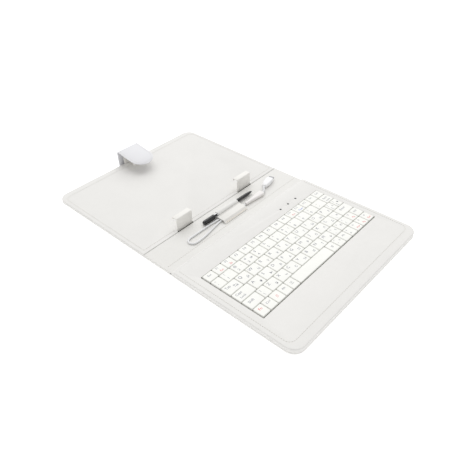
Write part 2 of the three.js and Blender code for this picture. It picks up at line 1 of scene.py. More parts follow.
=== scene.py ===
"""Looks of a folding tablet case with a built-in keyboard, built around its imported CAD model."""
import json
import math

import bmesh
import bpy
from mathutils import Matrix, Vector
from mathutils.geometry import interpolate_bezier


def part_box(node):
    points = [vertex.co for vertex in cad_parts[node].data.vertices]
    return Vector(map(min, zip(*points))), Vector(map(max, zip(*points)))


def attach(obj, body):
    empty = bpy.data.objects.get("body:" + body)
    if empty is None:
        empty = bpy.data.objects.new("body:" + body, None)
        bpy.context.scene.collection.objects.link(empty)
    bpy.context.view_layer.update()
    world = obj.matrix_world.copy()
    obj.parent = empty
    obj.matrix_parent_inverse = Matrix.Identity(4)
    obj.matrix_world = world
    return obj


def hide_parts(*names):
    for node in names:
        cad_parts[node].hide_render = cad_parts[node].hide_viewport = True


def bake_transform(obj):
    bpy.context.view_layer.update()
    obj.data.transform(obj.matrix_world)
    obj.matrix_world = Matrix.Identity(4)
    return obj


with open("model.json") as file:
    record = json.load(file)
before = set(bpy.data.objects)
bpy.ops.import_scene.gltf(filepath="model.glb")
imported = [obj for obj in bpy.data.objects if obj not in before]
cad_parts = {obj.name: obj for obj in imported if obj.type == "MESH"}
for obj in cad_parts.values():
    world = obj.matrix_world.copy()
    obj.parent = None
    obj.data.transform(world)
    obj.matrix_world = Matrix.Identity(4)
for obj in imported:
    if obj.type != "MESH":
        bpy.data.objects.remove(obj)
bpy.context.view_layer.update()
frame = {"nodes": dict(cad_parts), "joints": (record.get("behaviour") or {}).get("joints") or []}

MM = 0.001
NODES = frame["nodes"]


def box_mm(node):
    """The low and high corners of a node's box in the frame, in millimetres."""
    low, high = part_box(node)
    return low / MM, high / MM


KEYBOARD_LOW, KEYBOARD_HIGH = box_mm("keyboard_inner_skin")
KEYBOARD_OUTER_LOW = box_mm("keyboard_outer_skin")[0]
SPINE_HIGH = box_mm("spine_inner_skin")[1]
TRAY_LOW, TRAY_HIGH = box_mm("tray_skin")
FIELD_LOW, FIELD_HIGH = box_mm("key_bezel")
STRAP_LOW, STRAP_HIGH = box_mm("strap_outer")
LOOP_LOW, LOOP_HIGH = box_mm("stylus_loop")
FLAP_LOW, FLAP_HIGH = box_mm("cable_flap")
CAP_LOW, CAP_HIGH = box_mm("stylus_cap")
TIP_LOW, TIP_HIGH = box_mm("stylus_tip")
BARREL_LOW, BARREL_HIGH = box_mm("stylus_barrel")
ADAPTER_LOW, ADAPTER_HIGH = box_mm("usb_adapter")

PAD_TOP = KEYBOARD_HIGH.z
TRAY_TOP = TRAY_HIGH.z
SPINE_TOP = SPINE_HIGH.z
HALF_WIDTH = KEYBOARD_HIGH.x
# The outer leather stands this high round the boards
SLAB_TOP = 2.55
CORNER = 15.0
JOINTS = {joint["name"]: joint for joint in frame["joints"]}
FRONT_FOLD = Vector(JOINTS["spine_fold"]["pos_m"]) / MM
REAR_FOLD = Vector(JOINTS["cover_fold"]["pos_m"]) / MM


# ---------------------------------------------------------------- camera

def make_camera():
    azimuth = math.radians(-47.04)
    elevation = math.radians(39.13)
    roll = math.radians(-1.52)
    distance = 0.6822
    target = Vector((-0.0217, -0.0452, 0.0))
    back = Vector((
        math.sin(azimuth) * math.cos(elevation),
        -math.cos(azimuth) * math.cos(elevation),
        math.sin(elevation),
    ))
    level = Vector((math.cos(azimuth), math.sin(azimuth), 0.0))
    upright = back.cross(level)
    right = math.cos(roll) * level + math.sin(roll) * upright
    up = math.cos(roll) * upright - math.sin(roll) * level
    data = bpy.data.cameras.new("camera")
    data.sensor_width = 36.0
    data.lens = 39.97
    data.clip_start = 0.01
    camera = bpy.data.objects.new("camera", data)
    place = Matrix((right, up, back)).transposed().to_4x4()
    place.translation = target + back * distance
    camera.matrix_world = place
    bpy.context.scene.collection.objects.link(camera)
    bpy.context.scene.camera = camera


make_camera()


# ---------------------------------------------------------------- materials

def new_material(name, colour, roughness, metallic=0.0, specular=0.5):
    material = bpy.data.materials.new(name)
    material.use_nodes = True
    shader = material.node_tree.nodes["Principled BSDF"]
    shader.inputs["Base Color"].default_value = (*colour, 1.0)
    shader.inputs["Roughness"].default_value = roughness
    shader.inputs["Metallic"].default_value = metallic
    shader.inputs["Specular IOR Level"].default_value = specular
    return material, material.node_tree, shader


def coordinates(tree):
    return tree.nodes.new("ShaderNodeTexCoord").outputs["Object"]


def noise(tree, vector, scale, detail=3.0, roughness=0.5):
    node = tree.nodes.new("ShaderNodeTexNoise")
    node.inputs["Scale"].default_value = scale
    node.inputs["Detail"].default_value = detail
    node.inputs["Roughness"].default_value = roughness
    tree.links.new(vector, node.inputs["Vector"])
    return node.outputs["Fac"]


def cells(tree, vector, scale):
    node = tree.nodes.new("ShaderNodeTexVoronoi")
    node.feature = "DISTANCE_TO_EDGE"
    node.inputs["Scale"].default_value = scale
    tree.links.new(vector, node.inputs["Vector"])
    return node.outputs["Distance"]


def ramp(tree, value, stops):
    node = tree.nodes.new("ShaderNodeValToRGB")
    node.color_ramp.elements[0].position = stops[0][0]
    node.color_ramp.elements[0].color = (*stops[0][1], 1.0)
    node.color_ramp.elements[1].position = stops[-1][0]
    node.color_ramp.elements[1].color = (*stops[-1][1], 1.0)
    for position, colour in stops[1:-1]:
        element = node.color_ramp.elements.new(position)
        element.color = (*colour, 1.0)
    tree.links.new(value, node.inputs["Fac"])
    return node.outputs["Color"]


def grey(level):
    return (level, level, level)


def bump(tree, height, strength, distance, normal=None):
    node = tree.nodes.new("ShaderNodeBump")
    node.inputs["Strength"].default_value = strength
    node.inputs["Distance"].default_value = distance
    tree.links.new(height, node.inputs["Height"])
    if normal is not None:
        tree.links.new(normal, node.inputs["Normal"])
    return node.outputs["Normal"]


def leather(name, colour, roughness=0.58, grain=1100.0, depth=0.00006):
    """Fine-grained synthetic leather: pebbled grain, faint blotches and soft waviness."""
    material, tree, shader = new_material(name, colour, roughness, specular=0.35)
    where = coordinates(tree)
    dark = tuple(0.985 * channel for channel in colour)
    light = tuple(min(1.0, 1.01 * channel) for channel in colour)
    blotch = noise(tree, where, 26.0, 4.0, 0.55)
    tree.links.new(ramp(tree, blotch, [(0.3, dark), (0.7, light)]), shader.inputs["Base Color"])
    pores = ramp(tree, cells(tree, where, grain), [(0.0, grey(0.0)), (0.12, grey(1.0))])
    pebbles = bump(tree, pores, 0.35, depth)
    waves = noise(tree, where, 55.0, 2.0, 0.5)
    normal = bump(tree, waves, 0.08, 0.0004, pebbles)
    tree.links.new(normal, shader.inputs["Normal"])
    shine = ramp(tree, noise(tree, where, 180.0, 3.0), [
        (0.3, grey(roughness - 0.07)),
        (0.7, grey(roughness + 0.07)),
    ])
    tree.links.new(shine, shader.inputs["Roughness"])
    return material


def plastic(name, colour, roughness=0.4, texture=1500.0, depth=0.00002, coat=0.0):
    """Moulded plastic with a fine spark-eroded texture and slight handling marks."""
    material, tree, shader = new_material(name, colour, roughness)
    where = coordinates(tree)
    marks = noise(tree, where, 140.0, 4.0, 0.6)
    shine = ramp(tree, marks, [(0.3, grey(roughness - 0.06)), (0.72, grey(roughness + 0.08))])
    tree.links.new(shine, shader.inputs["Roughness"])
    tint = ramp(tree, noise(tree, where, 60.0, 3.0), [
        (0.35, tuple(0.975 * channel for channel in colour)),
        (0.65, colour),
    ])
    tree.links.new(tint, shader.inputs["Base Color"])
    tree.links.new(bump(tree, noise(tree, where, texture, 2.0), 0.25, depth), shader.inputs["Normal"])
    shader.inputs["Coat Weight"].default_value = coat
    return material


def metal(name, colour, roughness=0.3):
    """Sheet metal with faint rolling lines along X."""
    material, tree, shader = new_material(name, colour, roughness, metallic=1.0)
    where = coordinates(tree)
    stretch = tree.nodes.new("ShaderNodeMapping")
    stretch.inputs["Scale"].default_value = (40.0, 2400.0, 2400.0)
    tree.links.new(where, stretch.inputs["Vector"])
    lines = noise(tree, stretch.outputs["Vector"], 1.0, 3.0)
    shine = ramp(tree, lines, [(0.3, grey(roughness - 0.08)), (0.7, grey(roughness + 0.12))])
    tree.links.new(shine, shader.inputs["Roughness"])
    tree.links.new(bump(tree, lines, 0.2, 0.00001), shader.inputs["Normal"])
    return material


def board(name, colour):
    """Pressed fibre board: mottled, with short fibres."""
    material, tree, shader = new_material(name, colour, 0.9, specular=0.2)
    where = coordinates(tree)
    flecks = noise(tree, where, 900.0, 5.0, 0.7)
    dark = tuple(0.7 * channel for channel in colour)
    tree.links.new(ramp(tree, flecks, [(0.35, dark), (0.62, colour)]), shader.inputs["Base Color"])
    tree.links.new(bump(tree, flecks, 0.5, 0.0001), shader.inputs["Normal"])
    return material


def woven(name, colour, pitch=1800.0):
    """Narrow woven elastic."""
    material, tree, shader = new_material(name, colour, 0.85, specular=0.2)
    where = coordinates(tree)
    wave = tree.nodes.new("ShaderNodeTexWave")
    wave.inputs["Scale"].default_value = pitch / 6.0
    tree.links.new(where, wave.inputs["Vector"])
    light = tuple(min(1.0, 1.8 * channel + 0.02) for channel in colour)
    tint = ramp(tree, wave.outputs["Fac"], [(0.2, colour), (0.8, light)])
    tree.links.new(tint, shader.inputs["Base Color"])
    tree.links.new(bump(tree, wave.outputs["Fac"], 0.5, 0.0001), shader.inputs["Normal"])
    return material


def printed(name, colour):
    """Pad-printed ink, very slightly patchy."""
    material, tree, shader = new_material(name, colour, 0.5)
    where = coordinates(tree)
    light = tuple(min(1.0, channel + 0.06) for channel in colour)
    tree.links.new(ramp(tree, noise(tree, where, 3000.0, 2.0), [(0.4, colour), (0.75, light)]),
                   shader.inputs["Base Color"])
    return material


LEATHER = leather("pale_leather", (0.80, 0.79, 0.77))
STRAP_LEATHER = leather("strap_leather", (0.79, 0.79, 0.815), 0.5, 1300.0, 0.00004)
# Flap leather: a warmer cream tone of its own, and lighter than the case leather as painted light that evens
# out the shade on the flap's sloped front.
FLAP_LEATHER_PAINTED_LIGHT = leather("flap_leather", (0.83, 0.815, 0.785), 0.6)
FOLD_LEATHER = leather("fold_leather", (0.795, 0.785, 0.76), 0.6)
THREAD = woven("thread", (0.46, 0.45, 0.41), 9000.0)
BROWN_THREAD = woven("brown_thread", (0.50, 0.42, 0.32), 9000.0)
KEY_PLASTIC = plastic("key_plastic", (0.91, 0.91, 0.875), 0.42)
# Key bezel: its dark olive colour is painted shade for the shadowed gap round the key field.
BEZEL_PAINTED_SHADE = plastic("bezel_plastic", (0.26, 0.26, 0.20), 0.6)
CLIP_COAT = plastic("clip_coat", (0.87, 0.855, 0.82), 0.5, 2200.0, 0.00003)
BLACK_PLASTIC = plastic("black_plastic", (0.008, 0.008, 0.009), 0.28, 900.0, 0.00001, 0.3)
WHITE_PLASTIC = plastic("white_plastic", (0.90, 0.90, 0.91), 0.32, 1500.0, 0.00001, 0.2)
CABLE_JACKET = plastic("cable_jacket", (0.83, 0.83, 0.84), 0.45, 2600.0, 0.00002)
SMOKED_LENS = plastic("smoked_lens", (0.025, 0.025, 0.028), 0.15, 600.0, 0.000005, 0.6)
BOOT_PLASTIC = plastic("boot_plastic", (0.84, 0.815, 0.80), 0.4, 1500.0, 0.00001, 0.2)
STEEL = metal("sheet_steel", (0.62, 0.63, 0.65))
PLUG_STEEL = metal("plug_steel", (0.34, 0.34, 0.35), 0.5)
GREY_BOARD = board("grey_board", (0.30, 0.285, 0.255))
FILM = plastic("membrane_film", (0.33, 0.34, 0.25), 0.35)
SILICONE = plastic("dome_silicone", (0.66, 0.66, 0.58), 0.7)
CIRCUIT = plastic("circuit_green", (0.03, 0.16, 0.07), 0.4)
ELASTIC = woven("elastic_black", (0.03, 0.03, 0.03))
INK = printed("grey_ink", (0.15, 0.16, 0.21))
RED_INK = printed("red_ink", (0.72, 0.05, 0.06))
BLUE_INK = printed("blue_ink", (0.08, 0.16, 0.55))
FAINT_INK = printed("faint_ink", (0.42, 0.42, 0.40))


# ---------------------------------------------------------------- mesh helpers

def link_mesh(name, mesh, *materials):
    thing = bpy.data.objects.new(name, mesh)
    bpy.context.scene.collection.objects.link(thing)
    for material in materials:
        mesh.materials.append(material)
    return thing


def shade(thing, angle=40.0):
    """Smooth shading that keeps edges sharper than the angle."""
    mesh = thing.data
    for polygon in mesh.polygons:
        polygon.use_smooth = True
    work = bmesh.new()
    work.from_mesh(mesh)
    limit = math.radians(angle)
    for edge in work.edges:
        if len(edge.link_faces) == 2 and edge.calc_face_angle(0.0) > limit:
            edge.smooth = False
    work.to_mesh(mesh)
    work.free()
    return thing


def loft(name, loops, material, angle=40.0):
    """A closed solid through loops of equally many points, with a flat cap at each end."""
    count = len(loops[0])
    verts = [Vector(point) * MM for loop in loops for point in loop]
    faces = []
    for level in range(len(loops) - 1):
        base = level * count
        for i in range(count):
            j = (i + 1) % count
            faces.append((base + i, base + j, base + count + j, base + count + i))
    faces.append(tuple(reversed(range(count))))
    faces.append(tuple(range((len(loops) - 1) * count, len(loops) * count)))
    mesh = bpy.data.meshes.new(name)
    mesh.from_pydata(verts, [], faces)
    work = bmesh.new()
    work.from_mesh(mesh)
    bmesh.ops.recalc_face_normals(work, faces=work.faces)
    work.to_mesh(mesh)
    work.free()
    return shade(link_mesh(name, mesh, material), angle)


def outline(x0, x1, y0, y1, front, rear, steps=8):
    """A rectangle in plan with one radius at its front corners and one at its rear corners."""
    points = []
    corners = [
        (x0 + front, y0 + front, front, math.pi),
        (x1 - front, y0 + front, front, 1.5 * math.pi),
        (x1 - rear, y1 - rear, rear, 0.0),
        (x0 + rear, y1 - rear, rear, 0.5 * math.pi),
    ]
    for x, y, radius, start in corners:
        for i in range(steps + 1):
            turn = start + 0.5 * math.pi * i / steps
            points.append((x + radius * math.cos(turn), y + radius * math.sin(turn)))
    return points


def rounded_levels(z0, z1, low_edge, high_edge, steps=4):
    """(inset, z) pairs up a wall whose lower and upper edges are rounded."""
    levels = []
    for i in range(steps + 1):
        turn = 0.5 * math.pi * i / steps
        levels.append((low_edge * (1.0 - math.sin(turn)), z0 + low_edge * (1.0 - math.cos(turn))))
    for i in range(steps + 1):
        turn = 0.5 * math.pi * i / steps
        levels.append((high_edge * (1.0 - math.cos(turn)), z1 - high_edge * (1.0 - math.sin(turn))))
    return levels


def at_height(points, z):
    return [(x, y, z) for x, y in points]


def cut_with(thing, cutter):
    """Takes the cutter's shape out of the thing and removes the cutter."""
    modifier = thing.modifiers.new("cut", "BOOLEAN")
    modifier.operation = "DIFFERENCE"
    modifier.solver = "EXACT"
    modifier.object = cutter
    graph = bpy.context.evaluated_depsgraph_get()
    mesh = bpy.data.meshes.new_from_object(thing.evaluated_get(graph))
    thing.modifiers.clear()
    old = thing.data
    thing.data = mesh
    bpy.data.meshes.remove(old)
    bpy.data.objects.remove(cutter)
    return thing


def slice_across(thing, places):
    """Adds edge lines across the thing at the given Y places."""
    work = bmesh.new()
    work.from_mesh(thing.data)
    for y in places:
        geometry = work.verts[:] + work.edges[:] + work.faces[:]
        bmesh.ops.bisect_plane(work, geom=geometry, plane_co=(0, y * MM, 0), plane_no=(0, 1, 0), dist=1e-7)
    bmesh.ops.triangulate(work, faces=[face for face in work.faces if len(face.verts) > 4])
    work.to_mesh(thing.data)
    work.free()
    return thing


def joined(name, things):
    """One object from several, which keeps each one's material."""
    work = bmesh.new()
    materials = []
    for thing in things:
        mesh = thing.data
        start = len(work.faces)
        work.from_mesh(mesh)
        work.faces.ensure_lookup_table()
        slots = []
        for material in mesh.materials:
            if material not in materials:
                materials.append(material)
            slots.append(materials.index(material))
        for face in work.faces[start:]:
            face.material_index = slots[face.material_index] if slots else 0
    mesh = bpy.data.meshes.new(name)
    work.to_mesh(mesh)
    work.free()
    for thing in things:
        old = thing.data
        bpy.data.objects.remove(thing)
        bpy.data.meshes.remove(old)
    return link_mesh(name, mesh, *materials)


def bevelled(thing, width, segments=3, angle=40.0):
    modifier = thing.modifiers.new("bevel", "BEVEL")
    modifier.width = width * MM
    modifier.segments = segments
    modifier.limit_method = "ANGLE"
    modifier.angle_limit = math.radians(angle)
    graph = bpy.context.evaluated_depsgraph_get()
    mesh = bpy.data.meshes.new_from_object(thing.evaluated_get(graph))
    thing.modifiers.clear()
    thing.data = mesh
    return shade(thing, 50.0)


def spline_points(route, per_span=8):
    """Points on a smooth curve through the route's points (centripetal Catmull-Rom)."""
    ends = [route[0] * 2 - route[1], *route, route[-1] * 2 - route[-2]]
    points = []
    for i in range(1, len(ends) - 2):
        p0, p1, p2, p3 = ends[i - 1:i + 3]
        t0 = 0.0
        t1 = t0 + math.sqrt((p1 - p0).length)
        t2 = t1 + math.sqrt((p2 - p1).length)
        t3 = t2 + math.sqrt((p3 - p2).length)
        for step in range(per_span):
            t = t1 + (t2 - t1) * step / per_span
            a1 = p0.lerp(p1, (t - t0) / (t1 - t0))
            a2 = p1.lerp(p2, (t - t1) / (t2 - t1))
            a3 = p2.lerp(p3, (t - t2) / (t3 - t2))
            b1 = a1.lerp(a2, (t - t0) / (t2 - t0))
            b2 = a2.lerp(a3, (t - t1) / (t3 - t1))
            points.append(b1.lerp(b2, (t - t1) / (t2 - t1)))
    points.append(route[-1])
    return points


# ---------------------------------------------------------------- cable

CABLE_RADIUS = 1.25
CABLE_CLEARANCE = 0.25
CABLE_Z = SPINE_TOP + CABLE_CLEARANCE + CABLE_RADIUS
CABLE_ROUTE = [
    (15.5, -29.5), (9.3, -29.1), (1.3, -28.3), (-8.7, -27.3), (-18.7, -27), (-26.7, -27.6),
    (-34.7, -28.9), (-44.7, -30.9), (-54.7, -32.7), (-64.7, -33.7), (-74.1, -33.7), (-78.4, -31.9),
    (-80.2, -27.6), (-78.4, -23.3), (-74.1, -21.5), (-64.7, -21.4), (-52.7, -21.5), (-40.7, -21.5),
    (-30.7, -21.8), (-20.7, -22.8), (-10.7, -23.3), (-0.7, -23.5), (9.3, -24.1), (19.3, -25.7), (29, -27.5),
]
RELIEF_ROUTE = [
    (65.6, -28.5, 7.5), (68.3, -28.3, 7.6), (71.1, -27, 7.8),
    (73.3, -24.8, 8), (75.5, -22.8, 8.1), (78, -21.4, 8.2),
]
INSIDE_ADAPTER = [(35.3, -28.1, 7), (47.3, -28.2, 7.4), (57.3, -28.4, 7.5)]


def make_cable():
    """The cable lies on the spine, then runs on through the adapter and the strain relief to the plug."""
    lying = [(x, y, CABLE_Z) for x, y in CABLE_ROUTE]
    route = spline_points([Vector(point) * MM for point in lying + INSIDE_ADAPTER + RELIEF_ROUTE])
    data = bpy.data.curves.new("usb_cable_flex", "CURVE")
    data.dimensions = "3D"
    data.bevel_depth = CABLE_RADIUS * MM
    data.bevel_resolution = 4
    data.use_fill_caps = True
    spline = data.splines.new("POLY")
    spline.points.add(len(route) - 1)
    for point, place in zip(spline.points, route):
        point.co = (*place, 1.0)
    spline.use_smooth = True
    cable = bpy.data.objects.new("usb_cable_flex", data)
    bpy.context.scene.collection.objects.link(cable)
    data.materials.append(CABLE_JACKET)
    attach(cable, "spine")
    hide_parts("usb_cable")
    length = sum((b - a).length for a, b in zip(route, route[1:]))
    return cable, route[0], length


cable, cable_exit, cable_length = make_cable()


# ---------------------------------------------------------------- plug, adapter and strain relief

def fillet_box(name, x0, x1, y0, y1, z0, z1, corner, edge, material):
    """A block with round corners in plan and round edges above and below."""
    rings = []
    for inset, z in rounded_levels(z0, z1, edge, edge):
        radius = max(corner - inset, 0.2)
        plan = outline(x0 + inset, x1 - inset, y0 + inset, y1 - inset, radius, radius, 5)
        rings.append(at_height(plan, z))
    return loft(name, rings, material)


MOUTH_DEPTH = 3.0
MOUTH_HALF_WIDTH = 3.2
MOUTH_HALF_HEIGHT = 1.1


def make_adapter():
    """A moulded boot, slim where the cable enters and wide at the plug end."""
    length = ADAPTER_HIGH.x - ADAPTER_LOW.x
    wide = (ADAPTER_HIGH.y - ADAPTER_LOW.y) / 2
    tall = (ADAPTER_HIGH.z - ADAPTER_LOW.z) / 2
    centre = (ADAPTER_LOW + ADAPTER_HIGH) / 2
    shape = [(0.0, 0.34, 0.66), (0.02, 0.42, 0.84), (0.12, 0.45, 0.92), (0.30, 0.50, 0.97), (0.50, 0.66, 1.0),
             (0.72, 0.84, 1.0), (0.86, 0.94, 1.0), (0.93, 1.0, 1.0), (0.98, 0.94, 0.94), (1.0, 0.84, 0.80)]
    loops = []
    for share, side, rise in shape:
        x = ADAPTER_LOW.x + share * length
        half = wide * side
        height = tall * rise
        corner = min(half, height) * 0.78
        section = outline(-half, half, -height, height, corner, corner, 6)
        loops.append([(x, centre.y + y, centre.z + z) for y, z in section])
    body = loft("adapter_body", loops, BOOT_PLASTIC, 50.0)
    mouth = fillet_box("mouth_cut", ADAPTER_HIGH.x - MOUTH_DEPTH, ADAPTER_HIGH.x + 2.0,
                       centre.y - MOUTH_HALF_WIDTH, centre.y + MOUTH_HALF_WIDTH,
                       centre.z - MOUTH_HALF_HEIGHT, centre.z + MOUTH_HALF_HEIGHT, 0.6, 0.4, WHITE_PLASTIC)
    cut_with(body, mouth)
    shade(body, 35.0)
    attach(body, "spine")
    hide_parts("usb_adapter")
    return body


def swept(name, route, radii, material, sides=20):
    """A round tube along a route, with its own radius at each point."""
    loops = []
    for i, place in enumerate(route):
        before = route[max(i - 1, 0)]
        after = route[min(i + 1, len(route) - 1)]
        along = (after - before).normalized()
        side = along.cross(Vector((0, 0, 1))).normalized()
        up = side.cross(along)
        ring = []
        for k in range(sides):
            turn = 2.0 * math.pi * k / sides
            ring.append(place + radii[i] * (math.cos(turn) * side + math.sin(turn) * up))
        loops.append(ring)
    return loft(name, loops, material, 60.0)


RELIEF_RADIUS = 1.95
RIB_DEPTH = 0.28


def make_relief():
    """The soft boot behind the plug, ribbed between its two plain ends."""
    route = spline_points([Vector(point) for point in RELIEF_ROUTE], 14)
    radii = []
    for i in range(len(route)):
        share = i / (len(route) - 1)
        between_ribs = 0.12 < share < 0.92 and i % 5 in (0, 1)
        radii.append(RELIEF_RADIUS - (RIB_DEPTH if between_ribs else 0.0))
    relief = swept("relief_boot", route, radii, CABLE_JACKET)
    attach(relief, "spine")
    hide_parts("plug_strain_relief")
    return relief


PLUG_HALF_HEIGHT = 3.2
PLUG_PLACE = Vector((78.8, -20.9, SPINE_TOP + 0.3 + PLUG_HALF_HEIGHT))
PLUG_TURN = 0.25
PLUG_CORNER = 1.9
GRIP_START = 11.0
GRIP_PITCH = 2.4
GRIP_WIDTH = 1.1


def turned_to_plug(thing):
    place = Matrix.Translation(PLUG_PLACE * MM) @ Matrix.Rotation(PLUG_TURN, 4, "Z")
    thing.data.transform(place)
    return thing


def make_plug():
    """The moulded plug: it narrows towards the cable and has three grip grooves a side."""
    stations = [(0.1, 2.9, 2.3), (1.2, 3.6, 2.7), (4.0, 4.2, 2.9), (8.0, 5.1, 3.1), (12.0, 5.45, 3.18),
                (20.0, 5.45, 3.18), (21.3, 5.2, 3.0), (21.9, 4.7, 2.6)]
    loops = []
    for x, half_width, half_height in stations:
        section = outline(-half_width, half_width, -half_height, half_height, PLUG_CORNER, PLUG_CORNER, 5)
        loops.append([(x, y, z) for y, z in section])
    body = loft("plug_moulding", loops, WHITE_PLASTIC, 50.0)
    for side in (-1, 1):
        for i in range(3):
            x = GRIP_START + GRIP_PITCH * i
            y = side * 5.6
            groove = fillet_box("grip_cut", x, x + GRIP_WIDTH, y - 0.5, y + 0.5, -2.0, 2.0, 0.2, 0.15,
                                WHITE_PLASTIC)
            cut_with(body, groove)
    shade(body, 35.0)
    turned_to_plug(body)
    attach(body, "spine")
    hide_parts("plug_body")
    shell = fillet_box("plug_mouth", 22.3, 27.3, -3.8, 3.8, -1.1, 1.1, 0.3, 0.3, PLUG_STEEL)
    hollow = fillet_box("hollow_cut", 23.3, 28.3, -3.45, 3.45, -0.8, 0.8, 0.2, 0.2, STEEL)
    cut_with(shell, hollow)
    shade(shell, 35.0)
    tongue = fillet_box("plug_tongue", 23.2, 27.0, -2.7, 2.7, -0.35, 0.25, 0.2, 0.1, BLACK_PLASTIC)
    mouth = joined("plug_metal", [shell, tongue])
    turned_to_plug(mouth)
    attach(mouth, "spine")
    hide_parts("plug_shell")
    return body, mouth


def make_eyelet():
    low, high = box_mm("cable_eyelet")
    eyelet = fillet_box("cable_collar", low.x, high.x, low.y, high.y, low.z, high.z, 0.8, 0.6, WHITE_PLASTIC)
    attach(eyelet, "spine")
    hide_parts("cable_eyelet")
    return eyelet


adapter = make_adapter()
relief = make_relief()
plug, plug_mouth = make_plug()
make_eyelet()


# ---------------------------------------------------------------- leather shells

SKIN_GAP = 0.15
LEATHER_THICKNESS = 1.0
BOARD_MARGIN = 2.3
SPINE_MIDDLE_Y = -22.7
KEYBOARD_BEND = 4.2
COVER_BEND = 2.8


def half_plan(inset, y_cut, y_free, steps=10):
    """One end of the case in plan: straight across at the cut, round corners at the free end."""
    half = HALF_WIDTH - inset
    side = 1.0 if y_free > y_cut else -1.0
    radius = CORNER - inset
    centre_y = y_free - side * CORNER
    left = []
    right = []
    for i in range(steps + 1):
        turn = 0.5 * math.pi * i / steps
        y = centre_y + side * radius * math.sin(turn)
        left.append((radius - half - radius * math.cos(turn), y))
        right.append((half - radius + radius * math.cos(turn), y))
    return [(half, y_cut), (-half, y_cut), *left, *reversed(right)]


def bend_places(middle, reach, count=10):
    return [middle - reach + 2.0 * reach * i / count for i in range(count + 1)]


def blend_over(thing, front_body, rear_body, middle, reach):
    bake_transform(thing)


def make_outer_skin():
    """Leather wrapped round the boards: a sheet below them and a folded edge beside them."""
    for name, y_free, fold, bend, bodies, nodes in (
        ("outer_leather_front", KEYBOARD_OUTER_LOW.y, FRONT_FOLD.y, KEYBOARD_BEND, ("keyboard_half", "spine"),
         ("keyboard_outer_skin", "spine_outer_skin")),
        ("outer_leather_rear", TRAY_HIGH.y, REAR_FOLD.y, COVER_BEND, ("spine", "tablet_half"),
         ("cover_outer_skin",)),
    ):
        wrap = loft(name, [
            at_height(half_plan(inset, SPINE_MIDDLE_Y, y_free), z)
            for inset, z in rounded_levels(0.0, SLAB_TOP, 0.7, 0.3)
        ], LEATHER)
        inward = 1.0 if y_free < fold else -1.0
        pocket = half_plan(BOARD_MARGIN, SPINE_MIDDLE_Y + inward, y_free + inward * BOARD_MARGIN)
        cut_with(wrap, loft("pocket_cut", [
            at_height(pocket, LEATHER_THICKNESS),
            at_height(pocket, SLAB_TOP + 1.0),
        ], LEATHER))
        slice_across(wrap, bend_places(fold, bend))
        shade(wrap)
        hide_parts(*nodes)
        blend_over(wrap, *bodies, fold, bend)


def lining_strip(name, y0, y1):
    """A strip of the inner leather across the case, hollow where the spine's board lies."""
    rings = []
    for inset, z in rounded_levels(SLAB_TOP + SKIN_GAP, SPINE_TOP, 0.2, 0.6):
        half = HALF_WIDTH - inset
        rings.append([(-half, y0, z), (half, y0, z), (half, y1, z), (-half, y1, z)])
    strip = loft(name, rings, FOLD_LEATHER)
    half = HALF_WIDTH - BOARD_MARGIN
    hollow = [(-half, y0 - 1.0), (half, y0 - 1.0), (half, y1 + 1.0), (-half, y1 + 1.0)]
    cut_with(strip, loft("board_room", [
        at_height(hollow, LEATHER_THICKNESS),
        at_height(hollow, SPINE_TOP - LEATHER_THICKNESS),
    ], FOLD_LEATHER))
    return strip


# The lining runs this far under the pad, and stops this far short of the tray
UNDER_PAD = 3.0
TRAY_GROOVE = 1.1


def make_lining():
    front = lining_strip("spine_lining_front", KEYBOARD_HIGH.y - UNDER_PAD, SPINE_MIDDLE_Y)
    slice_across(front, bend_places(FRONT_FOLD.y, KEYBOARD_BEND))
    shade(front)
    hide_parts("spine_inner_skin")
    blend_over(front, "keyboard_half", "spine", FRONT_FOLD.y, KEYBOARD_BEND)
    rear = lining_strip("spine_lining_rear", SPINE_MIDDLE_Y, TRAY_LOW.y - TRAY_GROOVE)
    slice_across(rear, bend_places(REAR_FOLD.y, COVER_BEND))
    shade(rear)
    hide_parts("cover_inner_skin")
    blend_over(rear, "spine", "tablet_half", REAR_FOLD.y, COVER_BEND)


PAD_REAR_REACH = 8.0
PAD_SLOPE = PAD_REAR_REACH / (PAD_TOP - SPINE_TOP)


def pad_rings(inset, top, edge):
    """Outlines up the keyboard's pad, whose rear side slopes down to the spine."""
    rings = []
    foot = KEYBOARD_HIGH.y - math.hypot(1.0, PAD_SLOPE) * inset
    for extra, z in rounded_levels(SLAB_TOP + SKIN_GAP, top, 0.2, edge, 6):
        rear = foot - PAD_SLOPE * max(0.0, z - SPINE_TOP) - 0.5 * extra
        rings.append(at_height(half_plan(inset + extra, rear, KEYBOARD_LOW.y), z))
    return rings


# The pad's leather covers this much of the bezel's rim
BEZEL_WALL = 2.0


def window_cutter(grow, z0, z1, corner):
    inset = BEZEL_WALL - grow
    plan = outline(FIELD_LOW.x + inset, FIELD_HIGH.x - inset, FIELD_LOW.y + inset, FIELD_HIGH.y - inset,
                   corner, corner, 4)
    return loft("window_cut", [at_height(plan, z0), at_height(plan, z1)], LEATHER)


def make_keyboard_pad():
    pad = loft("keyboard_pad_leather", pad_rings(0.0, PAD_TOP, 1.5), LEATHER)
    hollow = loft("hollow_cut", pad_rings(1.0, PAD_TOP - 1.0, 0.6), LEATHER)
    hollow.data.transform(Matrix.Translation((0, 0, -0.0005)))
    cut_with(pad, hollow)
    cut_with(pad, window_cutter(0.0, 0.0, PAD_TOP + 2.0, 0.9))
    for name in ("light_num_lock", "light_caps_lock", "light_power"):
        low, high = box_mm(name)
        middle = (low + high) / 2
        radius = (high.x - low.x) / 2 + 0.25
        ring = outline(middle.x - radius, middle.x + radius, middle.y - radius, middle.y + radius,
                       radius, radius, 6)
        cut_with(pad, loft("hole_cut", [at_height(ring, 0.0), at_height(ring, PAD_TOP + 2.0)], LEATHER))
    bevelled(pad, 0.45, 3, 75.0)
    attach(pad, "keyboard_half")
    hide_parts("keyboard_inner_skin")
    return pad


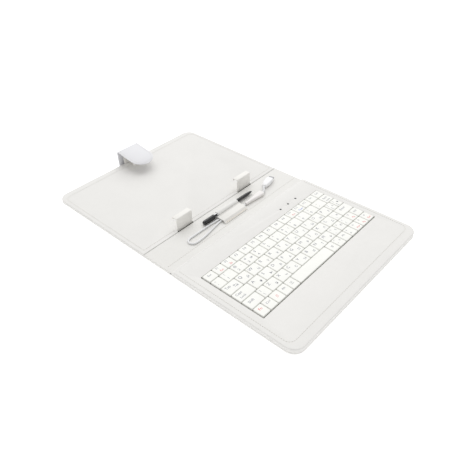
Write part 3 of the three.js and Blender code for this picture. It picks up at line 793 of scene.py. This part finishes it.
def block_cutter(x0, x1, y0, y1, z0, z1):
    plan = [(x0, y0), (x1, y0), (x1, y1), (x0, y1)]
    return loft("block_cut", [at_height(plan, z0), at_height(plan, z1)], LEATHER)


NOTCH_SIDE = 0.6
NOTCH_DEPTH = 1.5


def tray_rings(inset, top, edge):
    rings = []
    for extra, z in rounded_levels(SLAB_TOP + SKIN_GAP, top, 0.2, edge, 6):
        front = TRAY_LOW.y + inset + extra
        rings.append(at_height(half_plan(inset + extra, front, TRAY_HIGH.y), z))
    return rings


def make_tray():
    tray = loft("tray_leather", tray_rings(0.0, TRAY_TOP, 1.2), LEATHER)
    hollow = loft("hollow_cut", tray_rings(1.0, TRAY_TOP - 1.0, 0.5), LEATHER)
    hollow.data.transform(Matrix.Translation((0, 0, -0.0005)))
    cut_with(tray, hollow)
    for name in ("clip_left", "clip_right"):
        low, high = box_mm(name)
        cut_with(tray, block_cutter(low.x - NOTCH_SIDE, high.x + NOTCH_SIDE, -5.0, low.y + NOTCH_DEPTH,
                                    0.0, TRAY_TOP + 2.0))
    low, high = box_mm("clip_top")
    cut_with(tray, block_cutter(low.x - NOTCH_SIDE, high.x + NOTCH_SIDE,
                                high.y - NOTCH_DEPTH, TRAY_HIGH.y + 5.0, 0.0, TRAY_TOP + 2.0))
    bevelled(tray, 0.35, 2, 62.0)
    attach(tray, "tablet_half")
    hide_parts("tray_skin")


make_outer_skin()
make_lining()
make_keyboard_pad()
make_tray()


# ---------------------------------------------------------------- keys

FIELD_MARGIN = 2.8
FIELD_LEFT = FIELD_LOW.x + FIELD_MARGIN
FIELD_WIDTH = FIELD_HIGH.x - FIELD_LOW.x - 2 * FIELD_MARGIN
FIELD_REAR = FIELD_HIGH.y - FIELD_MARGIN
LETTER = 18.6
SMALL = 13.5
KEY_GAP = 0.6
KEY_BASE = 6.2
KEY_FACE = 9.2
PRINT_LIFT = 0.008


# A legend is (text, how far across, how far up, height in mm, ink); the corners of a key are 0 and 1
def letter(latin, other=""):
    marks = [(latin, 0.29, 0.68, 4.4, "grey")]
    if other:
        marks.append((other, 0.72, 0.30, 3.5, "grey"))
    return marks


def digit(number, sign, other=""):
    marks = [(number, 0.30, 0.29, 3.9, "grey"), (sign, 0.30, 0.74, 3.4, "grey")]
    if other:
        marks.append((other, 0.72, 0.48, 3.0, "grey"))
    return marks


def word(text, size=3.1, ink="grey"):
    return [(text, 0.5, 0.62, size, ink)]


def two_words(upper, lower, ink="red"):
    return [(upper, 0.42, 0.73, 3.2, "grey"), (lower, 0.56, 0.28, 3.0, ink)]


def pairs(first, second):
    return [letter(a, b) for a, b in zip(first, second)]


OTHER_SIGNS = ["", '"', "№", ";", "", ":", "?", "", "", ""]

# A row is (name, depth, key widths, legends); keys of width None share what is left of the field
ROWS = [
    ("function", 14.0, [15.9] * 12 + [None] * 3,
     [word("Esc"), two_words("F1", "Esc"), two_words("F2", "Zz")]
     + [word(f"F{i}", 3.7) for i in range(3, 10)]
     + [two_words("F10", "Prt"), two_words("F11", "Num", "blue"), word("F12"), word("Ins"), word("Del")]),
    ("number", 16.0, [14.3] + [LETTER] * 11 + [None],
     [digit("`", "~")]
     + [digit(*marks) for marks in zip("1234567890", "!@#$%^&*()", OTHER_SIGNS)]
     + [digit("-", "_"), word("Back", 3.2) + [("space", 0.5, 0.28, 2.8, "grey")]]),
    ("upper", 16.0, [23.5] + [LETTER] * 10 + [12.6, None],
     [[("Tab", 0.31, 0.66, 3.7, "grey"), ("↹", 0.71, 0.40, 4.2, "grey")]]
     + pairs("QWERTYUIOP", "ЙЦУКЕНГШЩЗ") + [digit("[", "{", "Х"), digit("]", "}", "Ъ")]),
    ("home", 16.0, [27.8] + [LETTER] * 9 + [13.3, None],
     [[("Caps", 0.30, 0.69, 3.5, "grey"), ("Lock", 0.33, 0.31, 3.2, "grey")]]
     + pairs("ASDFGHJKL", "ФЫВАПРОЛД") + [digit(";", ":", "Ж"), word("Enter", 3.6)]),
    ("lower", 16.0, [23.5, SMALL] + [LETTER] * 7 + [SMALL] * 4 + [None],
     [[("Shift", 0.40, 0.58, 3.6, "grey")], digit("\\", "|")]
     + pairs("ZXCVBNM", "ЯЧСМИТЬ")
     + [digit(",", "<", "Б"), digit(".", ">", "Ю"), digit("/", "?")]
     + [two_words("↑", "Pg"), word("Shift", 2.8)]),
    ("space", 16.0, [SMALL, SMALL, 14.5, SMALL, SMALL, 70.6] + [None] * 7,
     [word("Fn", 3.8, "red"), word("Ctrl", 3.0), [("//", 0.5, 0.5, 4.2, "red")], word("Alt", 3.2),
      [("三", 0.5, 0.5, 3.6, "grey")], [], [("≣", 0.5, 0.5, 4.0, "grey")], digit("'", '"', "Э"),
      word("Alt", 3.0), digit("=", "+"), two_words("←", "Hm"), two_words("↓", "Pg"), two_words("→", "End")]),
]

SINGLE_KEYS = {
    "function": {0: "key_escape"},
    "number": {12: "key_backspace"},
    "upper": {0: "key_tab"},
    "home": {0: "key_caps_lock", 11: "key_enter"},
    "lower": {0: "key_shift_left", 12: "key_arrow_up", 13: "key_shift_right"},
    "space": {
        0: "key_function",
        5: "key_space",
        10: "key_arrow_left",
        11: "key_arrow_down",
        12: "key_arrow_right",
    },
}
INKS = {"grey": INK, "red": RED_INK, "blue": BLUE_INK, "faint": FAINT_INK}


def keycap(x0, x1, y0, y1):
    """One cap: sloping sides, soft shoulders and a flat face."""
    shape = [(0.0, 0.0), (0.04, 0.7), (0.2, 2.35), (0.28, 2.68), (0.46, 2.88), (0.74, 2.98), (1.1, 3.0)]
    rings = []
    for inset, rise in shape:
        radius = max(1.15 - 0.45 * inset, 0.5)
        side = inset + 0.5 * KEY_GAP
        plan = outline(x0 + side, x1 - side, y0 + side, y1 - side, radius, radius, 4)
        rings.append(at_height(plan, KEY_BASE + rise))
    return loft("cap", rings, KEY_PLASTIC, 50.0)


# A capital's height as a share of the font's size
CAPITAL_SHARE = 0.72


def printed_text(text, x, y, z, size, ink):
    """A thin raised print whose capitals stand size millimetres tall."""
    data = bpy.data.curves.new("print", "FONT")
    data.body = text
    data.size = size / CAPITAL_SHARE * MM
    data.extrude = 0.012 * MM
    data.align_x = "CENTER"
    data.align_y = "CENTER"
    data.resolution_u = 2
    letters = bpy.data.objects.new("print", data)
    bpy.context.scene.collection.objects.link(letters)
    letters.location = (x * MM, y * MM, z * MM)
    bpy.context.view_layer.update()
    mesh = bpy.data.meshes.new_from_object(letters)
    mesh.transform(letters.matrix_world)
    bpy.data.objects.remove(letters)
    mesh.materials.clear()
    return link_mesh("print", mesh, INKS[ink])


def finish_key(node, caps, prints):
    """The caps of one node become one piece, and so do the legends on them."""
    thing = joined(node.replace("key", "cap", 1), caps)
    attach(thing, node)
    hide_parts(node)
    if prints:
        legend = joined(node.replace("key", "legend", 1), prints)
        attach(legend, node)


def web_between(places, front, rear):
    """The thin web that joins the feet of the keys in one run."""
    return fillet_box("web", places[0][0] + KEY_GAP, places[-1][1] - KEY_GAP, front + KEY_GAP, rear - KEY_GAP,
                      KEY_BASE, KEY_BASE + 0.5, 0.5, 0.15, KEY_PLASTIC)


def make_keys():
    rear = FIELD_REAR
    for name, depth, widths, legends in ROWS:
        front = rear - depth
        given = sum(width or 0.0 for width in widths)
        share = (FIELD_WIDTH - given) / max(1, widths.count(None))
        x = FIELD_LEFT
        run = []
        part = 1
        caps = []
        prints = []
        for column, width in enumerate(widths):
            width = width or share
            node = SINGLE_KEYS[name].get(column)
            if node and run:
                finish_key(f"keys_{name}_row_{part}", [web_between(run, front, rear), *caps], prints)
                part += 1
                run, caps, prints = [], [], []
            caps.append(keycap(x, x + width, front, rear))
            for text, across, up, size, ink in legends[column]:
                prints.append(printed_text(text, x + across * width, front + up * depth,
                                           KEY_FACE + PRINT_LIFT, size, ink))
            if node:
                finish_key(node, caps, prints)
                caps, prints = [], []
            else:
                run.append((x, x + width))
            x += width
        if run:
            finish_key(f"keys_{name}_row_{part}", [web_between(run, front, rear), *caps], prints)
        rear = front


make_keys()


# ---------------------------------------------------------------- lights

def make_lights():
    for name, sign in (("light_num_lock", "1"), ("light_caps_lock", "A"), ("light_power", "+")):
        low, high = box_mm(name)
        middle = (low + high) / 2
        radius = (high.x - low.x) / 2
        rings = []
        for inset, z in rounded_levels(low.z, high.z, 0.2, 0.7, 5):
            size = radius - inset
            rings.append(at_height(outline(middle.x - size, middle.x + size, middle.y - size, middle.y + size,
                                           size, size, 5), z))
        lens = loft(name.replace("light", "lens"), rings, SMOKED_LENS, 60.0)
        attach(lens, "keyboard_half")
        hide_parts(name)
        mark = printed_text(sign, middle.x - 4.6, middle.y, PAD_TOP + PRINT_LIFT, 1.9, "faint")
        mark.name = name.replace("light", "mark")
        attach(mark, "keyboard_half")


make_lights()


# ---------------------------------------------------------------- bent sheets: clips, loop and flap

def bent_line(corners, radius, steps=6):
    """A line through corner points in the YZ plane, each inner corner rounded."""
    points = [Vector((0, y, z)) for y, z in corners]
    line = [points[0]]
    for before, corner, after in zip(points, points[1:], points[2:]):
        back = (before - corner).normalized()
        on = (after - corner).normalized()
        reach = radius / math.tan(back.angle(on) / 2)
        bend = interpolate_bezier(corner + back * reach, corner + back * reach * 0.45,
                                  corner + on * reach * 0.45, corner + on * reach, steps + 1)
        line.extend(bend)
    line.append(points[-1])
    return line


def profile_of(line, thickness, x):
    left = []
    right = []
    for i, point in enumerate(line):
        along = (line[min(i + 1, len(line) - 1)] - line[max(i - 1, 0)]).normalized()
        across = Vector((0, -along.z, along.y)) * (thickness / 2)
        left.append((x, point.y + across.y, point.z + across.z))
        right.append((x, point.y - across.y, point.z - across.z))
    return left + list(reversed(right))


def bent_plate(name, line, thickness, x0, x1, material, edge=0.3):
    """A plate of one thickness along a line, drawn out along X, with rounded long edges."""
    rings = [
        profile_of(line, thickness - 2 * edge, x0),
        profile_of(line, thickness - 0.6 * edge, x0 + 0.3 * edge),
        profile_of(line, thickness, x0 + edge),
        profile_of(line, thickness, x1 - edge),
        profile_of(line, thickness - 0.6 * edge, x1 - 0.3 * edge),
        profile_of(line, thickness - 2 * edge, x1),
    ]
    return loft(name, rings, material, 45.0)


CLIP_PLATE = 0.9
CLIP_BEND = 0.9
FRONT_HOOK = 8.8
FRONT_LIP = 3.4
TOP_HOOK = 24.5
TOP_LIP = 9.0


def make_clips():
    """Each clip is one bent plate: a foot in the tray, a wall, a hook over the tablet and a lip."""
    half = CLIP_PLATE / 2
    for name, inward, hook, lip in (
        ("clip_left", 1.0, FRONT_HOOK, FRONT_LIP),
        ("clip_right", 1.0, FRONT_HOOK, FRONT_LIP),
        ("clip_top", -1.0, TOP_HOOK, TOP_LIP),
    ):
        low, high = box_mm(name)
        outer_y, foot_y = (low.y, high.y) if inward > 0 else (high.y, low.y)
        wall_y = outer_y + inward * half
        lip_y = outer_y + inward * (hook - half)
        line = bent_line([
            (foot_y, low.z + half),
            (wall_y, low.z + half),
            (wall_y, high.z - half),
            (lip_y, high.z - half),
            (lip_y, high.z - lip),
        ], CLIP_BEND)
        clip = bent_plate(name + "_plate", line, CLIP_PLATE, low.x, high.x, CLIP_COAT)
        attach(clip, name)
        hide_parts(name)


make_clips()


# ---------------------------------------------------------------- closing strap

STRAP_RADIUS = (STRAP_HIGH.x - STRAP_LOW.x) / 2
STRAP_X = (STRAP_HIGH.x + STRAP_LOW.x) / 2
STRAP_TIP_Y = STRAP_LOW.y
STRAP_BACK_Y = STRAP_HIGH.y
STRAP_TOP = 27.0
STRAP_TIP_DROP = 8.0
STRAP_SLOPE = STRAP_TIP_DROP / (STRAP_BACK_Y - STRAP_TIP_Y)
STRAP_FOOT_LENGTH = 9.0
STRAP_FOOT_BEND = 1.6
STRAP_TOP_BEND = 2.8
# The line is made in two parts that meet on the upright stretch at this height
STRAP_MIDDLE_Z = 12.0
# Above this height the strap's line has left the upright stretch
STRAP_SLOPE_Z = 15.0


def strap_line(depth, foot):
    """The strap's middle line a given depth under its outer face: foot, riser, bend and slope."""
    back = STRAP_BACK_Y - depth
    top = STRAP_TOP - depth
    tip_z = top - STRAP_SLOPE * (back - STRAP_TIP_Y + 10.0)
    corners = [(back, top), (STRAP_TIP_Y - 10.0, tip_z)]
    if foot:
        start = bent_line([
            (STRAP_BACK_Y - STRAP_FOOT_LENGTH, depth),
            (back, depth),
            (back, STRAP_MIDDLE_Z),
        ], STRAP_FOOT_BEND)
    else:
        start = [Vector((0, back, 1.2))]
    bend = bent_line([(back, STRAP_MIDDLE_Z), *corners], STRAP_TOP_BEND - depth, 10)
    return start + bend[1:]


def ribbon(name, centres, normals, half_widths, thickness, x, material, edge=0.35):
    """A flat band along centres; each cross-section is a thin bar with rounded ends."""
    rings = []
    for centre, normal, half in zip(centres, normals, half_widths):
        ring = []
        rounded = min(edge, 0.45 * half)
        section = [(half, 0.5 * thickness - edge), (half - 0.3 * rounded, 0.5 * thickness - 0.3 * edge),
                   (half - rounded, 0.5 * thickness)]
        section += [(-across, up) for across, up in reversed(section)]
        section += [(across, -up) for across, up in reversed(section)]
        for across, up in section:
            ring.append(Vector((x + across, centre.y, centre.z)) + normal * up)
        rings.append(ring)
    return loft(name, rings, material, 45.0)


def strap_stations(depth, foot, inset):
    """Even stations along the line up to the round tip, with the half width at each."""
    line = strap_line(depth, foot)
    tip = STRAP_TIP_Y + inset
    half = STRAP_RADIUS - inset
    ys = []
    centres = []
    normals = []
    halves = []
    for i, point in enumerate(line):
        if point.z > STRAP_SLOPE_Z and point.y < tip + half + 1.0:
            break
        along = (line[min(i + 1, len(line) - 1)] - line[max(i - 1, 0)]).normalized()
        centres.append(point)
        normals.append(Vector((0, along.z, -along.y)))
        halves.append(half)
    last = line[-1]
    before = line[-2]
    along = (last - before).normalized()
    normal = Vector((0, along.z, -along.y))
    steps = 16
    for i in range(steps + 1):
        turn = 0.5 * math.pi * i / steps
        y = tip + half - half * math.sin(turn)
        share = (y - before.y) / (last.y - before.y)
        centres.append(before.lerp(last, share))
        normals.append(normal)
        halves.append(max(half * math.cos(turn), 0.6))
    return centres, normals, halves


def make_strap():
    """The outer leather bends at its foot, where edge lines are added; the lining rides on the strap."""
    outer = ribbon("strap_outer_leather", *strap_stations(0.5, True, 0.0), 1.0, STRAP_X, STRAP_LEATHER)
    for z in [0.5 + 0.4 * i for i in range(10)]:
        work = bmesh.new()
        work.from_mesh(outer.data)
        geometry = work.verts[:] + work.edges[:] + work.faces[:]
        bmesh.ops.bisect_plane(work, geom=geometry, plane_co=(0, 0, z * MM), plane_no=(0, 0, 1), dist=1e-7)
        work.to_mesh(outer.data)
        work.free()
    shade(outer, 45.0)
    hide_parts("strap_outer")
    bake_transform(outer)
    lining = ribbon("strap_lining_leather", *strap_stations(1.62, False, 0.8), 1.05, STRAP_X, STRAP_LEATHER)
    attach(lining, "strap")
    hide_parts("strap_lining")


make_strap()


# ---------------------------------------------------------------- stylus

STYLUS_Y = (BARREL_LOW.y + BARREL_HIGH.y) / 2
STYLUS_Z = (BARREL_LOW.z + BARREL_HIGH.z) / 2


def turned(name, profile, material, sides=40, angle=40.0):
    """A solid turned about the stylus's axis, from (x, radius) pairs."""
    rings = []
    for x, radius in profile:
        ring = []
        for i in range(sides):
            turn = 2.0 * math.pi * i / sides
            ring.append((x, STYLUS_Y + radius * math.cos(turn), STYLUS_Z + radius * math.sin(turn)))
        rings.append(ring)
    return loft(name, rings, material, angle)


BARREL_RADIUS = (BARREL_HIGH.z - BARREL_LOW.z) / 2
CAP_RADIUS = 3.3
STUB_RADIUS = 1.8
BORE_RADIUS = 2.1
POCKET_CLIP_TURN = 0.25 * math.pi


def grooved(x0, x1, radius, depth=0.13):
    """Profile points across a fine groove."""
    return [(x0, radius), (x0 + 0.1, radius - depth), (x1 - 0.1, radius - depth), (x1, radius)]


def make_stylus():
    start = CAP_HIGH.x - 3.5
    tip = TIP_LOW.x
    end = TIP_HIGH.x
    barrel = turned("stylus_tube", [
        (start - 9.0, STUB_RADIUS - 0.2), (start - 8.8, STUB_RADIUS), (start + 0.2, STUB_RADIUS),
        (start + 0.25, BARREL_RADIUS - 0.2), (start + 0.5, BARREL_RADIUS),
        *grooved(start + 2.4, start + 3.2, BARREL_RADIUS), *grooved(tip - 3.0, tip - 2.2, BARREL_RADIUS),
        (tip - 0.5, BARREL_RADIUS), (tip - 0.3, BARREL_RADIUS - 0.15), (tip - 0.25, STUB_RADIUS),
        (tip + 8.8, STUB_RADIUS), (tip + 9.0, STUB_RADIUS - 0.2),
    ], WHITE_PLASTIC)
    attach(barrel, "stylus")
    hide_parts("stylus_barrel")

    left = CAP_LOW.x
    cap = turned("cap_shell", [
        (left, 1.1), (left + 0.15, 1.9), (left + 0.6, 2.5), (left + 1.4, 2.95), (left + 2.4, 3.2),
        (left + 3.6, CAP_RADIUS), *grooved(left + 6.4, left + 7.5, CAP_RADIUS, 0.2),
        *grooved(start - 3.2, start - 2.1, CAP_RADIUS, 0.2), (start - 0.4, CAP_RADIUS),
        (start - 0.1, CAP_RADIUS - 0.2), (start, CAP_RADIUS - 0.4), (start, BORE_RADIUS),
        (start - 9.3, BORE_RADIUS), (start - 9.35, 0.3),
    ], BLACK_PLASTIC)
    arm_z = CAP_RADIUS + 0.85
    arm = fillet_box("clip_arm", left + 2.0, CAP_HIGH.x, -1.6, 1.6, arm_z - 0.45, arm_z + 0.45, 1.2, 0.3,
                     BLACK_PLASTIC)
    root = fillet_box("clip_root", left + 2.0, left + 5.0, -1.55, 1.55, CAP_RADIUS - 0.9, arm_z, 0.6, 0.2,
                      BLACK_PLASTIC)
    bead = fillet_box("clip_bead", CAP_HIGH.x - 2.6, CAP_HIGH.x - 0.5, -1.2, 1.2, arm_z - 0.8, arm_z,
                      0.9, 0.3, BLACK_PLASTIC)
    pocket_clip = joined("pocket_clip", [arm, root, bead])
    axis = Vector((0, STYLUS_Y, STYLUS_Z)) * MM
    pocket_clip.data.transform(Matrix.Translation(axis) @ Matrix.Rotation(POCKET_CLIP_TURN, 4, "X"))
    whole = joined("stylus_cap_detail", [cap, pocket_clip])
    shade(whole, 40.0)
    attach(whole, "stylus")
    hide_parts("stylus_cap")

    point = turned("stylus_point", [
        (tip + 9.3, 0.3), (tip + 9.28, BORE_RADIUS), (tip, BORE_RADIUS), (tip, BARREL_RADIUS - 0.2),
        (tip + 0.2, BARREL_RADIUS), *grooved(tip + 1.6, tip + 2.45, BARREL_RADIUS),
        (tip + 7.0, BARREL_RADIUS - 0.05), (tip + 12.0, BARREL_RADIUS - 0.1), (tip + 18.0, 2.45),
        (end - 8.0, 2.15), (end - 4.6, 1.75), (end - 2.0, 1.25), (end - 0.8, 0.85), (end - 0.25, 0.5),
        (end, 0.2),
    ], BLACK_PLASTIC)
    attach(point, "stylus")
    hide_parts("stylus_tip")


make_stylus()


# ---------------------------------------------------------------- stylus loop and cable flap

LOOP_MIDDLE = BARREL_RADIUS + 0.8
FOOT_Z = SPINE_TOP + 0.3


def loop_line():
    """The loop's middle line: a foot behind the stylus, then over it and down in front."""
    rear = STYLUS_Y + LOOP_MIDDLE
    line = [Vector((0, LOOP_HIGH.y, FOOT_Z + 0.5)), Vector((0, rear + 1.4, FOOT_Z + 0.5))]
    line += [Vector((0, rear + 0.5, FOOT_Z + 0.75)), Vector((0, rear + 0.1, FOOT_Z + 1.6))]
    for i in range(25):
        turn = math.pi * i / 24
        y = STYLUS_Y + LOOP_MIDDLE * math.cos(turn)
        z = STYLUS_Z + LOOP_MIDDLE * math.sin(turn)
        line.append(Vector((0, y, z)))
    line.append(Vector((0, STYLUS_Y - LOOP_MIDDLE, FOOT_Z)))
    return line


def length_of(line):
    return sum((after - before).length for before, after in zip(line, line[1:]))


def flap_line():
    """The flap's middle line: from the loop's front down over the cable to the spine."""
    cable_top = CABLE_Z + CABLE_RADIUS + 0.2
    front = STYLUS_Y - LOOP_MIDDLE
    return bent_line([
        (front - 1.3, STYLUS_Z + 1.5),
        (front - 2.4, cable_top + 0.7),
        (-31.5, cable_top + 0.5),
        (-33.9, FOOT_Z + 0.5),
        (FLAP_LOW.y, FOOT_Z + 0.5),
    ], 0.8, 5)


def make_loop_and_flap():
    line = loop_line()
    loop = bent_plate("stylus_loop_leather", line, 1.0, LOOP_LOW.x, LOOP_HIGH.x, LEATHER, 0.25)
    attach(loop, "spine")
    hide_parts("stylus_loop")
    line = flap_line()
    # The flap's leather is lightened: painted light against the shade on its sloped front.
    flap = bent_plate("cable_flap_leather", line, 1.0, FLAP_LOW.x, FLAP_HIGH.x, FLAP_LEATHER_PAINTED_LIGHT, 0.25)
    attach(flap, "spine")
    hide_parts("cable_flap")


make_loop_and_flap()


# ---------------------------------------------------------------- stitching

def along(points, pitch):
    """Places an even pitch apart along a line of points, each with the direction there."""
    total = length_of(points)
    count = max(1, int(total / pitch))
    step = total / count
    places = []
    travelled = 0.5 * step
    walked = 0.0
    for before, after in zip(points, points[1:]):
        span = (after - before).length
        while span > 0 and travelled <= walked + span and len(places) < count:
            share = (travelled - walked) / span
            places.append((before.lerp(after, share), (after - before).normalized()))
            travelled += step
        walked += span
    return places


def stitch_mesh(name, lines, material, pitch=3.1, length=2.1, radius=0.27):
    """Every stitch is a small spindle that lies along its seam. A line is (points, outward normal)."""
    verts = []
    faces = []
    sides = 6
    profile = [(-0.5, 0.25), (-0.34, 0.85), (0.0, 1.0), (0.34, 0.85), (0.5, 0.25)]
    for points, normal in lines:
        for place, way in along(points, pitch):
            side = way.cross(normal).normalized()
            base = len(verts)
            for share, size in profile:
                for k in range(sides):
                    turn = 2.0 * math.pi * k / sides
                    offset = side * math.cos(turn) + normal * math.sin(turn)
                    verts.append((place + way * (share * length) + offset * (radius * size)) * MM)
            for level in range(len(profile) - 1):
                for k in range(sides):
                    j = (k + 1) % sides
                    low = base + level * sides
                    faces.append((low + k, low + j, low + sides + j, low + sides + k))
            faces.append(tuple(base + k for k in reversed(range(sides))))
            faces.append(tuple(base + (len(profile) - 1) * sides + k for k in range(sides)))
    mesh = bpy.data.meshes.new(name)
    mesh.from_pydata(verts, [], faces)
    work = bmesh.new()
    work.from_mesh(mesh)
    bmesh.ops.recalc_face_normals(work, faces=work.faces)
    work.to_mesh(mesh)
    work.free()
    return shade(link_mesh(name, mesh, material), 80.0)


UP = Vector((0, 0, 1))


def at_level(points, z):
    return [Vector((x, y, z)) for x, y in points]


def border(inset, y_cut, y_free, z):
    """The seam round one end of the case, from one side of the cut to the other."""
    return at_level(half_plan(inset, y_cut, y_free)[1:] + half_plan(inset, y_cut, y_free)[:1], z)


def make_stitching():
    sunk = 0.06
    pad = stitch_mesh("pad_stitches", [
        (border(6.0, KEYBOARD_HIGH.y - 10.5, KEYBOARD_LOW.y + 6.0, PAD_TOP + sunk), UP),
    ], THREAD)
    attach(pad, "keyboard_half")
    half = HALF_WIDTH - 5.5
    tray_seams = [(border(5.5, TRAY_LOW.y + 6.0, TRAY_HIGH.y - 5.5, TRAY_TOP + sunk), UP)]
    stops = [-half]
    for name in ("clip_left", "clip_right"):
        low, high = box_mm(name)
        stops += [low.x - 2.0, high.x + 2.0]
    stops.append(half)
    seam_y = TRAY_LOW.y + 6.0
    for start, end in zip(stops[0::2], stops[1::2]):
        tray_seams.append((at_level([(start, seam_y), (end, seam_y)], TRAY_TOP + sunk), UP))
    tray = stitch_mesh("tray_stitches", tray_seams, THREAD)
    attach(tray, "tablet_half")
    seam_y = FRONT_FOLD.y + 1.6
    edge = HALF_WIDTH - 4.0
    fold = stitch_mesh("fold_stitches", [
        (at_level([(-edge, seam_y), (edge, seam_y)], SPINE_TOP + sunk), UP),
    ], THREAD)
    blend_over(fold, "keyboard_half", "spine", FRONT_FOLD.y, KEYBOARD_BEND)
    flap_z = FOOT_Z + 1.0 + sunk
    flap = stitch_mesh("flap_stitches", [
        (at_level([(FLAP_LOW.x + 1.0, FLAP_LOW.y + 0.8), (FLAP_HIGH.x - 1.0, FLAP_LOW.y + 0.8)], flap_z), UP),
    ], BROWN_THREAD, 2.0, 1.7, 0.28)
    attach(flap, "spine")
    make_strap_stitches()


def make_strap_stitches():
    """A seam 3 mm inside the strap's edge, on its outer face."""
    centres, normals, halves = strap_stations(0.0, True, 3.0)
    normal = normals[-1]
    left = []
    right = []
    for centre, half in zip(centres, halves):
        if centre.z > 20.0 or (centre.z > STRAP_SLOPE_Z and centre.y < 180.0):
            left.append(Vector((STRAP_X - half, centre.y, centre.z)))
            right.append(Vector((STRAP_X + half, centre.y, centre.z)))
    strap = stitch_mesh("strap_stitches", [(left + list(reversed(right)), normal)], THREAD, 2.6, 1.8, 0.24)
    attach(strap, "strap")


make_stitching()


# ---------------------------------------------------------------- finishes of the CAD nodes that stay

STAYING = {
    "keyboard_board": GREY_BOARD,
    "keyboard_foam_frame": GREY_BOARD,
    "strap_catch_plate": STEEL,
    "keyboard_backplate": STEEL,
    # painted shade: the bezel's dark colour stands for the shadow round the key field
    "key_bezel": BEZEL_PAINTED_SHADE,
    "membrane_sheet": FILM,
    "dome_sheet": SILICONE,
    "controller_board": CIRCUIT,
    "spine_board": GREY_BOARD,
    "cover_board": GREY_BOARD,
    "tray_board": GREY_BOARD,
    "clip_elastic_left": ELASTIC,
    "clip_elastic_right": ELASTIC,
    "strap_magnet": STEEL,
}

for node_name, finish in STAYING.items():
    node = NODES[node_name]
    node.data.materials.clear()
    node.data.materials.append(finish)


# ---------------------------------------------------------------- floor and light

def make_stage():
    plane = bpy.data.meshes.new("floor")
    size = 40.0
    corners = [(-size, -size), (size, -size), (size, size), (-size, size)]
    plane.from_pydata([(x, y, -0.0002) for x, y in corners], [], [(0, 1, 2, 3)])
    material, tree, shader = new_material("floor", (0.93, 0.93, 0.93), 0.9, specular=0.1)
    shader.inputs["Emission Color"].default_value = (1, 1, 1, 1)
    shader.inputs["Emission Strength"].default_value = 0.40
    floor = link_mesh("floor", plane, material)
    world = bpy.data.worlds.new("studio")
    world.use_nodes = True
    background = world.node_tree.nodes["Background"]
    background.inputs["Color"].default_value = (1.0, 1.0, 0.995, 1)
    background.inputs["Strength"].default_value = 0.70
    bpy.context.scene.world = world
    bpy.context.scene.view_settings.view_transform = "Standard"


def soft_light(name, coming_from, spread, strength):
    """A very wide, distant light, like a tall diffuser."""
    data = bpy.data.lights.new(name, "SUN")
    data.angle = math.radians(spread)
    data.energy = strength
    lamp = bpy.data.objects.new(name, data)
    lamp.rotation_euler = (-Vector(coming_from)).to_track_quat("-Z", "Y").to_euler()
    bpy.context.scene.collection.objects.link(lamp)


make_stage()
soft_light("diffuser", (0.75, 0.75, 1.25), 70.0, 1.45)
